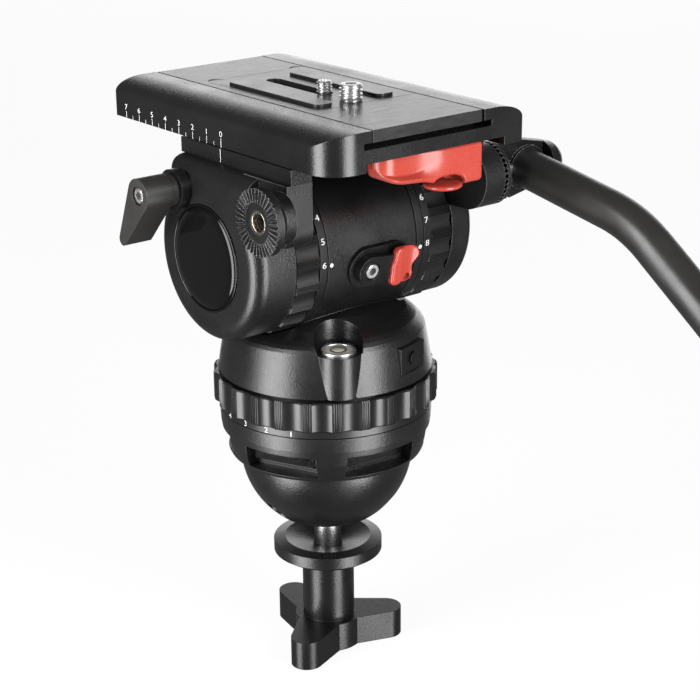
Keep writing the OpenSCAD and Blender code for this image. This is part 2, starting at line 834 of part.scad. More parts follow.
// Four screws that hold the rail on the housings
module rail_screws() color("#8f8f92") at_tilt() at_rail_screws() translate([0, 0, rail_z1 - rail_sink])
  cap_screw(rail_screw_r, rail_h - rail_sink + rail_screw_len, rail_head_r, rail_sink - 0.2);

// T-shaped guides on the side rails
module slide_gibs() color("#6d6d70") at_tilt() for (x = [-gib_x, gib_x]) translate([x, 0, 0]) {
  gib(-rail_back, -gib_rear);
  gib(-gib_mid, gib_mid);
}

module gib(y0, y1) {
  box(-gib_neck, gib_neck, y0, y1, rail_z1, gib_z + 0.1);
  box(-gib_head, gib_head, y0, y1, gib_z, gib_top);
}

// Carriage lock

module lock_collar() color("#232325") at_tilt() translate([0, lock_y, lock_z])
  xtube(lock_r + 1.2, lock_pin_r + fit, x_left_out - collar_t, x_left_out);

module lock_lever() color("#2a2a2c") at_tilt() translate([0, lock_y, lock_z]) difference() {
  union() {
    xcyl(lock_pin_r, x_lock - 1, x_left_out + lock_pin_len);
    xcyl(lock_r - 0.4, x_lock - 4, x_lock);
    translate([x_paddle, 0, 0]) rotate([90, 0, 90]) linear_extrude(height = lock_w)
      rotate(lock_turn - 90) drop2d(lock_r, lock_tip_r, lock_len - lock_tip_r);
  }
  xcyl(lock_screw_r + screw_air, x_paddle - 1, x_paddle + lock_screw_h);
}

module lock_screw() color("#b9b9bb") at_tilt() translate([x_paddle + lock_screw_h, lock_y, lock_z])
  rotate([0, -90, 0]) difference() {
    cylinder(r = lock_screw_r, h = lock_screw_h - screw_low);
    translate([0, 0, lock_screw_h / 3]) cylinder(r = lock_screw_r / 2, h = lock_screw_h, $fn = 6);
  }

// Balance plate

// Point of the carriage's rounded shoulder, from the side (t = 0) to the top (t = 1)
function shoulder(t) = [car_w / 2 - car_round_w * (1 - cos(90 * t)), car_h - car_round_h * (1 - sin(90 * t))];

// Section of the carriage's outside: x across, y up
module car_section() {
  polygon(concat([[-car_w / 2, 0], [car_w / 2, 0]], [for (i = [0 : 14]) shoulder(i / 14)],
    [for (i = [14 : -1 : 0]) [-shoulder(i / 14)[0], shoulder(i / 14)[1]]]));
}

// Slot of a guide, open to the front
module t_slot(x) {
  y0 = -rail_back - gap;
  y1 = car_front + 1;
  translate([x, 0, 0]) {
    box(-gib_neck - gap, gib_neck + gap, y0, y1, car_z0 - 1, gib_z + 1);
    box(-gib_head - gap, gib_head + gap, y0, y1, gib_z - gap, gib_top + gap);
  }
}

module carriage() color("#1d1d1f") at_tilt() difference() {
  intersection() {
    translate([0, car_front, car_z0]) rotate([90, 0, 0]) linear_extrude(height = car_len)
      car_section();
    translate([0, 0, car_z0 - 1]) linear_extrude(height = car_h + 2) {
      translate([-car_w / 2 + car_corner, -car_back]) square([car_w - car_corner, car_len]);
      translate([-car_w / 2, -car_back + car_corner]) square([30, car_len - car_corner]);
      translate([-car_w / 2 + car_corner, -car_back + car_corner]) circle(r = car_corner);
    }
  }
  box(-slot_l, slot_r, -car_back - 1, car_front + 1, car_z0 - 1, floor_z0);
  box(-chan_w, chan_w, -car_back - 1, car_front + 1, floor_z1, car_z1 + 1);
  box(-flange_w - gap, flange_w + gap, -car_back - 1, car_front + 1, floor_z1, lip_z);
  box(flange_w, flange_w + 6.5, clamp_y0, clamp_y1, floor_z1, lip_z);
  t_slot(-gib_x);
  t_slot(gib_x);
  translate([qr_x, -qr_y, 0]) zcyl(pin_r, floor_z0 - 1, floor_z1 - 1);
}

// Bar that clamps the camera plate's right flange
module plate_clamp() color("#68686b") at_tilt()
  box(flange_w - gap + fit, flange_w + 4.2, clamp_y0 + gap, clamp_y1 - gap, floor_z1 + gap, lip_z - gap);

module qr_pin() color("#9a9a9c") at_tilt() translate([qr_x, -qr_y, 0])
  zcyl(pin_r, qr_well + 1.4, floor_z1 - 1);

// Quick-release lever: side profile with a lifted finger end, rounded in plan, scooped for the thumb
module qr_lever() color("#d9493b") at_tilt() translate([qr_x, -qr_y, 0]) difference() {
  intersection() {
    translate([0, qr_front, 0]) rotate([90, 0, 0]) linear_extrude(height = qr_front + qr_rear)
      polygon([[-qr_tip, qr_top], [-qr_tip, qr_top - 3], [-qr_tip + 1, qr_top - qr_nose],
        [-qr_tip + 3, qr_top - 8.8], [-qr_tip + 6.5, qr_top - 10.6], [-qr_tip + 12, qr_top - 11.4],
        [-qr_tip + qr_slope, qr_top - qr_lip], [qr_edge - qr_heel, qr_bot], [qr_edge, qr_bot],
        [qr_edge, qr_top]]);
    linear_extrude_from(qr_bot - 1, qr_top - qr_bot + 2) {
      translate([-qr_tip + 8, -qr_rear]) square([qr_tip - 8 + qr_edge - 3, qr_front + qr_rear]);
      translate([-qr_tip, 8 - qr_rear]) square([qr_tip + qr_edge, qr_front + qr_rear - 8]);
      translate([-qr_tip + 8, 8 - qr_rear]) circle(r = 8);
      translate([qr_edge - 3, 3 - qr_rear]) circle(r = 3);
      translate([0, 3 - qr_rear]) square([qr_edge, 6]);
    }
  }
  translate([scoop_x, -qr_rear + scoop_deep - scoop_r, 0]) zcyl(scoop_r, qr_bot + 6, qr_top + 1);
  zcyl(pin_r + fit, qr_well, qr_top + 1);
  zcyl(button_r + gap, qr_bot - 1, qr_well);
}

module qr_button() color("#d9493b") at_tilt() translate([qr_x, -qr_y, 0]) {
  zcyl(button_r - 0.8, qr_bot - 0.8, qr_bot + 1);
  zcyl(button_r, qr_bot, qr_bot + 2.4);
}

module camera_plate() color("#3b3b3e") at_tilt() difference() {
  union() {
    box(-plate_w, plate_w, -car_back + 0.6, car_front - 0.6, flange_z1, car_z1);
    box(-flange_w + gap, flange_w - gap, -car_back + flange_back, car_front - 0.6, plate_z0, flange_z1 + 0.1);
  }
  stud_slot(small_r + 0.35, car_z1 + 1);
  stud_slot(washer_r + 0.6, plate_z0 + washer_well);
  translate([0, large_y, 0]) {
    zcyl(large_r - shank_cut + fit, plate_z0 - 1, car_z1 + 1);
    zcyl(large_head_r + 0.5, plate_z0 - 1, plate_z0 + large_head_h + gap);
  }
}

// Slot of the small stud, from below the plate up to z1
module stud_slot(r, z1) {
  z0 = plate_z0 - 1;
  translate([0, small_y, 0]) {
    zcyl(r, z0, z1);
    box(-r, r, 0, stud_travel, z0, z1);
    translate([0, stud_travel, 0]) zcyl(r, z0, z1);
  }
}

// Two rubber strips on the camera plate
module grip_pads() color("#3f3f42") at_tilt() for (x = [-pad_x, pad_x])
  translate([x, pad_y0, car_z1]) linear_extrude(height = pad_h) {
    translate([-pad_w / 2, pad_round]) square([pad_w, pad_len - pad_round]);
    translate([pad_round - pad_w / 2, 0]) square([pad_w - 2 * pad_round, pad_len]);
    for (s = [-1, 1]) translate([s * (pad_w / 2 - pad_round), pad_round]) circle(r = pad_round);
  }

// Sliding washer under the camera plate
module stud_washer() color("#7d7d80") at_tilt() translate([0, small_y, 0])
  ztube(washer_r, small_r - shank_cut + fit, washer_z1 - washer_t, washer_z1);

module small_stud() color("#d0d0d2") at_tilt() translate([0, small_y, 0]) {
  zcyl(washer_r - 0.4, plate_z0, plate_z0 + stud_head_h);
  zcyl(small_r - shank_cut, plate_z0 + 0.5, car_z1 + 0.4);
  zcyl(small_r, car_z1 + 0.3, car_z1 + 5.2);
}

module large_stud() color("#d0d0d2") at_tilt() translate([0, large_y, 0]) {
  zcyl(large_head_r, plate_z0, plate_z0 + large_head_h);
  zcyl(large_r - shank_cut, plate_z0 + 1, car_z1 + 0.4);
  zcyl(large_r, car_z1 + 0.3, car_z1 + 6.6);
}

// Handle

// Toothed disc, groove and tapered body; both are cut flat behind the axis where the tube leaves
module handle_clamp() color("#1b1b1d") at_handle() difference() {
  union() {
    difference() {
      rotate([0, 90, 0]) {
        zcyl(ros_r, clamp_in - tube_x, clamp_flat - tube_x);
        zcyl(ros_r - 1.2, clamp_flat - tube_x - 1, clamp_flat - tube_x + groove_w + 1);
        translate([0, 0, clamp_flat - tube_x + groove_w])
          cylinder(r1 = ros_r, r2 = clamp_end_r, h = clamp_out - clamp_flat - groove_w);
      }
      box(clamp_in + clamp_rim - tube_x, tube_x, -2 * ros_r, -cut_t, -2 * ros_r, 2 * ros_r);
    }
    translate([clamp_in - tube_x, 0, 0]) mirror([1, 0, 0]) rotate([0, 90, 0]) teeth(ros_in_r, ros_r, ros_n);
    rotate([90, 0, 0]) zcyl(socket_r, -1, cut_t + 1.5);
  }
  rotate([90, 0, 0]) zcyl(tube_r, -tube_end, 30);
  xcyl(bolt_r + fit, clamp_in - tube_x - 5, clamp_out - tube_x + 5);
}

// Path of the handle tube; the bend is a hair thinner than the straights that overlap it
module tube_path(r, start, extra) {
  rotate([90, 0, 0]) zcyl(r, start, tube_len1 + tube_lap);
  translate([0, -tube_len1, -bend_r]) {
    rotate([180, -90, 0]) rotate_extrude(angle = tube_bend) translate([bend_r, 0]) circle(r = r - 0.02);
    rotate([tube_bend, 0, 0]) translate([0, 0, bend_r]) rotate([90, 0, 0])
      zcyl(r, -tube_lap, tube_len2 + extra);
  }
}

// Tube with a plugged, cross-drilled front end
module handle_tube() color("#0f0f10") at_handle() difference() {
  tube_path(tube_r, -tube_end, 0);
  tube_path(tube_r - tube_wall, 8, 1);
  xcyl(bolt_r + 0.6, -30, 30);
}

// Three points of a finger groove around the grip
function rib(y) = [[grip_r, y - rib_half], [grip_r - rib_deep, y], [grip_r, y + rib_half]];

// Rubber sleeve over the end of the tube
module handle_grip() color("#161617") at_handle() translate([0, -tube_len1, -bend_r])
  rotate([tube_bend, 0, 0]) translate([0, -tube_len2, bend_r]) rotate([-90, 0, 0]) rotate_extrude()
    polygon(concat([[0, -5], [grip_r - 4, -5], [grip_r - 1, -3.6], [grip_r, -1]],
      [for (i = [0 : rib_n - 1]) each rib(rib_y0 + i * rib_pitch)],
      [[grip_r, grip_len - 12], [grip_r - 1.5, grip_len - 8], [tube_r + 1.6, grip_len], [tube_r, grip_len],
        [tube_r, 0], [0, 0]]));

// Clamping knob with a domed end
module handle_knob() color("#1d1d1f") at_handle() translate([clamp_out - tube_x + gap, 0, 0]) difference() {
  rotate([0, 90, 0]) rotate_extrude()
    polygon([[0, 0], [clamp_end_r - 0.1, 0], [8.4, 5.6], [7.4, 7.2], [5.6, 8.5], [3, 9.3], [0, 9.6]]);
  xcyl(bolt_r, -1, bolt_in);
}

// Bolt from the knob through the tube into the right insert
module handle_bolt() color("#9a9a9c") at_handle()
  xcyl(bolt_r, x_insert_r + gap - tube_x, clamp_out - tube_x + gap + bolt_in);

lower_base();
half_ball();
ball_screws();
tie_stud();
pan_spindle();
pan_stator();
tie_cup();
tie_knob();
pan_drag_ring();
pan_housing();
pan_rotor();
pan_bearing();
level_bezel();
level_vial();
light_plate();
light_button();
tilt_stator();
tilt_bearings();
balance_pack();
tilt_brake_mount();
tilt_brake_hub();
tilt_brake_grip();
tilt_brake_screw();
pan_brake_mount();
pan_brake_hub();
pan_brake_grip();
pan_brake_screw();
tilt_drag_ring();
balance_ring();
left_housing();
right_housing();
badge();
rosette_inserts();
tilt_shaft();
tilt_rotor();
top_rail();
rail_screws();
slide_gibs();
lock_collar();
lock_lever();
lock_screw();
carriage();
qr_pin();
plate_clamp();
qr_lever();
qr_button();
camera_plate();
grip_pads();
stud_washer();
small_stud();
large_stud();
handle_clamp();
handle_tube();
handle_grip();
handle_knob();
handle_bolt();
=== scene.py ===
# %% [markdown]
# # A fluid video head, dressed for a studio picture
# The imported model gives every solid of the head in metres, in its final place.
# This lesson loads it as a fixed frame, then adds the small things that a solid
# model leaves out: threads, numerals, soft red levers, and the finishes.

# %% Load the frame and keep its box
import math

import bmesh
import bpy
import numpy as np
from mathutils import Matrix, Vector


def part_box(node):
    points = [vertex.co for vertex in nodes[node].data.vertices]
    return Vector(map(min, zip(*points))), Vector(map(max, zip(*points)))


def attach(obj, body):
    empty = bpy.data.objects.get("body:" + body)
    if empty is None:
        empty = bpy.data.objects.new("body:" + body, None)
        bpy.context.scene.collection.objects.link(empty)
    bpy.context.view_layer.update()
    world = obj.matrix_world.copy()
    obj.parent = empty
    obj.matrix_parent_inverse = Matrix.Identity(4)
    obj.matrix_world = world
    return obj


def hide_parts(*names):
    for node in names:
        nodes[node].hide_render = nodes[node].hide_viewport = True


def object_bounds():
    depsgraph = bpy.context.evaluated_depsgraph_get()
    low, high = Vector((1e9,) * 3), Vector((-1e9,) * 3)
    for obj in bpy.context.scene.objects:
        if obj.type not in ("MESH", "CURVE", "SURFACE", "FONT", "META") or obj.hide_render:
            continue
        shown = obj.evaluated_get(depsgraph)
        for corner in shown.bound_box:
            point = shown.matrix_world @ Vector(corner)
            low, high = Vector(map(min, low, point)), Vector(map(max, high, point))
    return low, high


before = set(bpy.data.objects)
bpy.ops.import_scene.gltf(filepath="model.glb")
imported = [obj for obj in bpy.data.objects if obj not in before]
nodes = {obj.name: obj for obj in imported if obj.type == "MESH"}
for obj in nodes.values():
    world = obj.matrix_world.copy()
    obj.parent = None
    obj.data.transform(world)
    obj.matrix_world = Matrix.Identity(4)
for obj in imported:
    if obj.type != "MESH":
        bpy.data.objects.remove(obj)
cad_box = [list(corner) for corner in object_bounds()]
print(len(nodes), "solids, box", np.round(np.subtract(cad_box[1], cad_box[0]), 3))

# %% [markdown]
# ## The camera
# The picture was taken with a long lens from behind and to the left of the head.
# Its place and its focal length were solved from the printed centimetre scale and
# the round rings, so the camera can stand where the real one stood. Building its
# axes from two angles and a small roll keeps the numbers readable.

# %% Place the camera
TURN, RISE, ROLL = np.radians([38.42, 20.03, -0.54])
EYE = np.array([-0.4404, -0.5724, 0.3062])
SENSOR, FOCAL = 36.0, 92.04


def place_at(thing, x, y, z, spot):
    """Sets an object's world matrix from its three axes and its spot."""
    m = np.eye(4)
    m[:3, :3], m[:3, 3] = np.stack([x, y, z], axis=1), spot
    thing.matrix_world = Matrix(m.tolist())


back = np.array([-np.sin(TURN) * np.cos(RISE), -np.cos(TURN) * np.cos(RISE), np.sin(RISE)])
right = np.array([np.cos(TURN), -np.sin(TURN), 0.0])
up = np.cross(back, right)
lens = bpy.data.cameras.new("studio_camera")
lens.sensor_width, lens.sensor_fit, lens.lens = SENSOR, "HORIZONTAL", FOCAL
camera = bpy.data.objects.new("studio_camera", lens)
bpy.context.scene.collection.objects.link(camera)
place_at(camera, np.cos(ROLL) * right + np.sin(ROLL) * up,
         -np.sin(ROLL) * right + np.cos(ROLL) * up, back, EYE)
bpy.context.scene.camera = camera
print("camera at", EYE, "lens", FOCAL)

# %% [markdown]
# ## Measuring in millimetres
# The head was designed in millimetres, and half of it turns about the tilt axis, so
# shapes are written in millimetres from that axis and moved into the frame at the end.

# %% Places, boxes and rounds
MM = 0.001
TILT_X, TILT_Z = -1.4, 96.0


def tilt(x, y, z):
    """A place in millimetres from the tilt axis, as metres in the part's frame."""
    return np.stack(np.broadcast_arrays(np.add(x, TILT_X), y, np.add(z, TILT_Z)), axis=-1) * MM


def box_mm(node):
    """The lowest and the highest corner of a solid, in millimetres."""
    low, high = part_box(node)
    return np.array(low) / MM, np.array(high) / MM


def circle(count):
    """Equal angles once round, without the last, which would repeat the first."""
    return np.linspace(0, 2 * np.pi, count, endpoint=False)


def lengths(points):
    """The distance along a broken line at each of its points."""
    return np.concatenate([[0], np.cumsum(np.linalg.norm(np.diff(points, axis=0), axis=1))])


def lathe_z(profile, centre, base, count=64):
    """A (radius, height) profile carried round an upright axis through the centre."""
    r, z = np.asarray(profile, float).T
    a = circle(count)
    return np.stack([r[:, None] * np.cos(a) + centre[0], r[:, None] * np.sin(a) + centre[1],
                     np.repeat(z[:, None], count, 1) + base], -1) * MM


plate_top = box_mm("camera_plate")[1][2]
print("the camera plate's top lies at", round(plate_top, 3), "mm")

# %% [markdown]
# ## Making a surface from a grid
# Every new piece here is a function of two parameters worked out on a grid. The
# grid can close on itself in either direction, and a row that shrinks to a point
# closes an end. One helper turns such a grid into quads with array arithmetic, so
# no loop visits single points.

# %% Grid helpers
WELD, SLIVER, SHARP = 2e-6, 1e-7, math.radians(38)


def quads(rows, cols, wrap_rows, wrap_cols):
    """Corner numbers of each cell: the cell, its right neighbour, and both one row on."""
    r = np.arange(rows if wrap_rows else rows - 1)
    c = np.arange(cols if wrap_cols else cols - 1)
    r, c = np.meshgrid(r, c, indexing="ij")
    r2, c2 = (r + 1) % rows, (c + 1) % cols
    corners = [r * cols + c, r * cols + c2, r2 * cols + c2, r2 * cols + c]
    return np.stack(corners, -1).reshape(-1, 4)


def spun(*grids):
    """Grids that close round their columns, and at both ends by poles."""
    return [(grid, False, True) for grid in grids]


def looped(*grids):
    """Grids that close in both directions, as a ring does."""
    return [(grid, True, True) for grid in grids]


def finish_piece(name, mesh, body, material, replaces=(), smooth=True):
    """Merges doubles, turns the faces outwards, smooths, and rides on the body."""
    bm = bmesh.new()
    bm.from_mesh(mesh)
    bmesh.ops.remove_doubles(bm, verts=bm.verts, dist=WELD)
    bmesh.ops.dissolve_degenerate(bm, edges=bm.edges, dist=SLIVER)
    bmesh.ops.recalc_face_normals(bm, faces=bm.faces)
    bm.to_mesh(mesh)
    bm.free()
    mesh.polygons.foreach_set("use_smooth", np.full(len(mesh.polygons), smooth))
    if smooth:
        mesh.set_sharp_from_angle(angle=SHARP)
    piece = bpy.data.objects.new(name, mesh)
    bpy.context.scene.collection.objects.link(piece)
    mesh.materials.append(material)
    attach(piece, body)
    if replaces:
        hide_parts(*replaces)
    print(name, len(mesh.polygons), "faces on", body)
    return piece


def make_piece(name, grids, body, material, replaces=()):
    """One mesh from several grids, each (points, wrap_rows, wrap_cols), put on a body."""
    points, faces, start = [], [], 0
    for grid, wrap_rows, wrap_cols in grids:
        rows, cols = grid.shape[:2]
        points.append(grid.reshape(-1, 3))
        faces.append(quads(rows, cols, wrap_rows, wrap_cols) + start)
        start += rows * cols
    mesh = bpy.data.meshes.new(name)
    mesh.from_pydata(np.concatenate(points).tolist(), [], np.concatenate(faces).tolist())
    mesh.validate()
    return finish_piece(name, mesh, body, material, replaces)


print("edges over", round(math.degrees(SHARP)), "degrees stay sharp")

# %% [markdown]
# ## Shared effects of the finishes
# The black castings are speckled with a fine grain, the machined pieces carry faint
# tool lines, and every edge is broken a little, which catches the light; the edges are
# also painted lighter, partly as wear and partly as a painted highlight. Each of these
# effects is one shader group with named sockets, used by many finishes with their own values.

# %% Node helpers
FLOAT, VECTOR = "NodeSocketFloat", "NodeSocketVector"


def group(name, inputs, outputs):
    """An empty shader group with named sockets; inputs are (name, type, default)."""
    tree = bpy.data.node_groups.new(name, "ShaderNodeTree")
    for label, kind, value in inputs:
        socket = tree.interface.new_socket(label, in_out="INPUT", socket_type=kind)
        socket.default_value = value
    for label, kind in outputs:
        tree.interface.new_socket(label, in_out="OUTPUT", socket_type=kind)
    return tree, tree.nodes.new("NodeGroupInput").outputs, tree.nodes.new("NodeGroupOutput").inputs


def add(tree, kind, links=(), **values):
    """A node with its settings, and links from other sockets into its named inputs."""
    node = tree.nodes.new(kind)
    for key, value in values.items():
        setattr(node, key, value)
    for socket, source in links:
        if isinstance(source, bpy.types.NodeSocket):
            tree.links.new(source, node.inputs[socket])
        else:
            node.inputs[socket].default_value = source
    return node


def span(tree, value, low, high, to_low, to_high):
    """Maps a value from one span to another and gives the result's socket."""
    return add(tree, "ShaderNodeMapRange", [
        ("Value", value), ("From Min", low), ("From Max", high),
        ("To Min", to_low), ("To Max", to_high)]).outputs["Result"]


print("helpers for nodes ready")

# %% Group: casting grain
EFFECT = [("Height", FLOAT), ("Rough", FLOAT), ("Tone", FLOAT)]
grain, given, out = group("casting_grain", [
    ("Grain", FLOAT, 2600.0), ("Mottle", FLOAT, 60.0), ("Low Rough", FLOAT, 0.3),
    ("High Rough", FLOAT, 0.5)], EFFECT)
here = add(grain, "ShaderNodeTexCoord").outputs["Object"]
fine = add(grain, "ShaderNodeTexNoise", [
    ("Vector", here), ("Scale", given["Grain"]), ("Detail", 2.0), ("Roughness", 0.6)])
broad = add(grain, "ShaderNodeTexNoise", [
    ("Vector", here), ("Scale", given["Mottle"]), ("Detail", 3.0)])
mixed = add(grain, "ShaderNodeMath", [(0, fine.outputs["Fac"]), (1, broad.outputs["Fac"])],
            operation="MULTIPLY")
rough = span(grain, mixed.outputs[0], 0.1, 0.45, given["Low Rough"], given["High Rough"])
grain.links.new(fine.outputs["Fac"], out["Height"])
grain.links.new(rough, out["Rough"])
grain.links.new(broad.outputs["Fac"], out["Tone"])
print("group", grain.name)

# %% Group: tool lines
lines, given, out = group("tool_lines", [
    ("Across", VECTOR, (1.0, 1.0, 1.0)), ("Low Rough", FLOAT, 0.25),
    ("High Rough", FLOAT, 0.4)], EFFECT)
here = add(lines, "ShaderNodeTexCoord").outputs["Object"]
stretch = add(lines, "ShaderNodeVectorMath", [(0, here), (1, given["Across"])],
              operation="MULTIPLY")
streak = add(lines, "ShaderNodeTexNoise", [
    ("Vector", stretch.outputs[0]), ("Scale", 1.0), ("Detail", 4.0), ("Roughness", 0.65)])
rough = span(lines, streak.outputs["Fac"], 0.3, 0.7, given["Low Rough"], given["High Rough"])
lines.links.new(streak.outputs["Fac"], out["Height"])
lines.links.new(rough, out["Rough"])
lines.links.new(streak.outputs["Fac"], out["Tone"])
print("group", lines.name)

# %% Group: broken edges
broken_edges, given, out = group(
    "broken_edges", [("Radius", FLOAT, 0.0004), ("Wear And Highlight", FLOAT, 0.3)],
    [("Normal", VECTOR), ("Edge", FLOAT)])
soft = add(broken_edges, "ShaderNodeBevel", [("Radius", given["Radius"])], samples=6)
flat = add(broken_edges, "ShaderNodeNewGeometry")
turn = add(broken_edges, "ShaderNodeVectorMath", [
    (0, soft.outputs["Normal"]), (1, flat.outputs["Normal"])], operation="DOT_PRODUCT")
# How much an edge is lightened: partly wear, partly a painted highlight.
worn_and_lit = span(broken_edges, turn.outputs["Value"], 0.98, 0.8, 0.0, given["Wear And Highlight"])
broken_edges.links.new(soft.outputs["Normal"], out["Normal"])
broken_edges.links.new(worn_and_lit, out["Edge"])
print("group", broken_edges.name)

# %% [markdown]
# ## The finishes
# Each finish mixes two close colours with one of the effects, lifts the colour at the
# edges, partly as wear and partly as a painted highlight with a glint on top, and sends
# the effect's height through a bump. The plain numbers sit on the shader's own sockets.

# %% A finish from the shared groups
MIX_A, MIX_B, MIX_OUT = 6, 7, 2  # the colour sockets of Blender's Mix node
EDGE_LIFT, BUMP_DEPTH = 2.2, 0.0002


def finish(name, dark, light, effect, settings, bump, radius=0.0004, wear_and_highlight=0.25, glint=0.02,
           **sockets):
    """Principled finish: two colours mixed by the effect's tone and lifted at the edges as wear and
    painted highlight, the effect's roughness, and its height as a bump; further sockets are set by
    name."""
    material = bpy.data.materials.new(name)
    material.use_nodes = True
    tree = material.node_tree
    shader = tree.nodes["Principled BSDF"]
    broken = add(tree, "ShaderNodeGroup", node_tree=broken_edges)
    broken.inputs["Radius"].default_value = radius
    broken.inputs["Wear And Highlight"].default_value = wear_and_highlight
    texture = add(tree, "ShaderNodeGroup", node_tree=effect)
    for label, value in settings:
        texture.inputs[label].default_value = value
    colour = add(tree, "ShaderNodeMix", [("Factor", texture.outputs["Tone"])], data_type="RGBA")
    colour.inputs[MIX_A].default_value = (*dark, 1)
    colour.inputs[MIX_B].default_value = (*light, 1)
    # Painted highlight and wear: the edge colour is the light colour lifted EDGE_LIFT times plus
    # the glint.
    lifted = add(tree, "ShaderNodeMix", [("Factor", broken.outputs["Edge"])], data_type="RGBA")
    tree.links.new(colour.outputs[MIX_OUT], lifted.inputs[MIX_A])
    lifted.inputs[MIX_B].default_value = (*[min(1, EDGE_LIFT * v + glint) for v in light], 1)
    relief = add(tree, "ShaderNodeBump", [
        ("Height", texture.outputs["Height"]), ("Normal", broken.outputs["Normal"]),
        ("Strength", bump), ("Distance", BUMP_DEPTH)])
    tree.links.new(lifted.outputs[MIX_OUT], shader.inputs["Base Color"])
    tree.links.new(texture.outputs["Rough"], shader.inputs["Roughness"])
    tree.links.new(relief.outputs["Normal"], shader.inputs["Normal"])
    for label, value in sockets.items():
        shader.inputs[label.replace("_", " ")].default_value = value
    print("finish", name)
    return material


def speckle(fineness, low, high, mottle=60.0):
    """Settings of the casting grain: grains and mottles to the metre, and its roughness."""
    return [("Grain", fineness), ("Mottle", mottle), ("Low Rough", low), ("High Rough", high)]


def tooled(across, low, high):
    """Settings of the tool lines: lines to the metre along each axis, and their roughness."""
    return [("Across", across), ("Low Rough", low), ("High Rough", high)]


def grey(value):
    """A colour with no tint."""
    return (value, value, value)


print("a worn edge is", EDGE_LIFT, "times as light as its finish, and a glint on top")

# %% Black castings, rings and mouldings
CAST_DARK, CAST_LIGHT = (0.0025, 0.0025, 0.0028), (0.005, 0.0049, 0.005)
CASTING = speckle(1500, 0.25, 0.4)
cast_black = finish("cast_black", CAST_DARK, CAST_LIGHT, grain, CASTING, 0.38)
# The castings' colours again, with a strong painted highlight along the housings' edges.
housing_black_highlit = finish("housing_black_highlit", CAST_DARK, CAST_LIGHT, grain, CASTING, 0.6,
                       radius=0.00022, wear_and_highlight=1.0, glint=0.22)
ring_black = finish("ring_black", grey(0.0025), grey(0.0045), grain, speckle(1500, 0.27, 0.38), 0.1,
                    radius=0.0001)
milled_black = finish("milled_black", (0.003, 0.003, 0.0033), (0.0055, 0.0052, 0.0052), grain,
                      speckle(1900, 0.22, 0.34, mottle=45), 0.28)
moulded_black = finish("moulded_black", grey(0.003), grey(0.006), grain,
                       speckle(1800, 0.24, 0.36), 0.25, Specular_IOR_Level=0.32)
badge_gloss = finish("badge_gloss", grey(0.002), grey(0.003), grain, speckle(300, 0.07, 0.11), 0.01,
                     wear_and_highlight=0.0, Specular_IOR_Level=0.3)

# %% Greys, red and rubber
plate_grey = finish("plate_grey", (0.010, 0.010, 0.0105), (0.018, 0.018, 0.0185), lines,
                    tooled((90, 2500, 400), 0.24, 0.36), 0.06)
moulded_grey = finish("moulded_grey", (0.012, 0.0112, 0.0105), (0.020, 0.019, 0.018), grain,
                      speckle(1500, 0.36, 0.5), 0.3)
lever_red = finish("lever_red", (0.30, 0.034, 0.022), (0.345, 0.043, 0.029), grain,
                   speckle(1200, 0.24, 0.34), 0.05, wear_and_highlight=0.1, Subsurface_Weight=0.06,
                   Subsurface_Radius=(0.002, 0.0006, 0.0004))
rubber = finish("rubber", grey(0.007), grey(0.013), grain, speckle(1400, 0.42, 0.6), 0.25)
pad_satin = finish("pad_satin", (0.010, 0.010, 0.0105), (0.016, 0.016, 0.0165), grain,
                   speckle(1300, 0.25, 0.36), 0.12)
tube_satin = finish("tube_satin", (0.011, 0.0105, 0.010), (0.017, 0.0163, 0.0156), grain,
                    speckle(900, 0.3, 0.42), 0.06, wear_and_highlight=0.1)

# %% Bare metals
steel = finish("steel", (0.36, 0.36, 0.37), (0.52, 0.52, 0.53), lines,
               tooled((900, 900, 3000), 0.22, 0.38), 0.06, Metallic=1.0)
bright = finish("bright", (0.66, 0.65, 0.64), (0.78, 0.77, 0.76), lines,
                tooled((600, 600, 3000), 0.1, 0.2), 0.03, radius=0.0002, Metallic=1.0)
silver = finish("silver", grey(0.58), (0.70, 0.70, 0.69), lines,
                tooled((700, 700, 2500), 0.28, 0.42), 0.04, radius=0.0001, Metallic=1.0)
nickel = finish("nickel", (0.44, 0.39, 0.32), (0.58, 0.52, 0.43), lines,
                tooled((3000, 600, 600), 0.16, 0.3), 0.05, radius=0.0002, Metallic=1.0)

# %% Ink and glass
white_ink = finish("white_ink", grey(0.52), grey(0.60), grain, speckle(900, 0.45, 0.6), 0.05,
                   radius=0.00005, wear_and_highlight=0.0)
# Dark colour for the level's printed circle, and painted shade in socket feet, the thread's groove
# and the plate's finger notches.
dark_print_and_shade = finish("dark_print_and_shade", grey(0.002), grey(0.004), grain, speckle(900, 0.5, 0.7), 0.05,
                   radius=0.00005, wear_and_highlight=0.0)
vial_glass = finish("vial_glass", (0.22, 0.21, 0.18), (0.30, 0.28, 0.24), grain,
                    speckle(300, 0.05, 0.1), 0.01, wear_and_highlight=0.0, Coat_Weight=1.0, Coat_Roughness=0.03)
bubble = finish("bubble", (0.42, 0.42, 0.34), (0.5, 0.5, 0.4), grain, speckle(300, 0.05, 0.1), 0.0,
                wear_and_highlight=0.0, Coat_Weight=1.0)

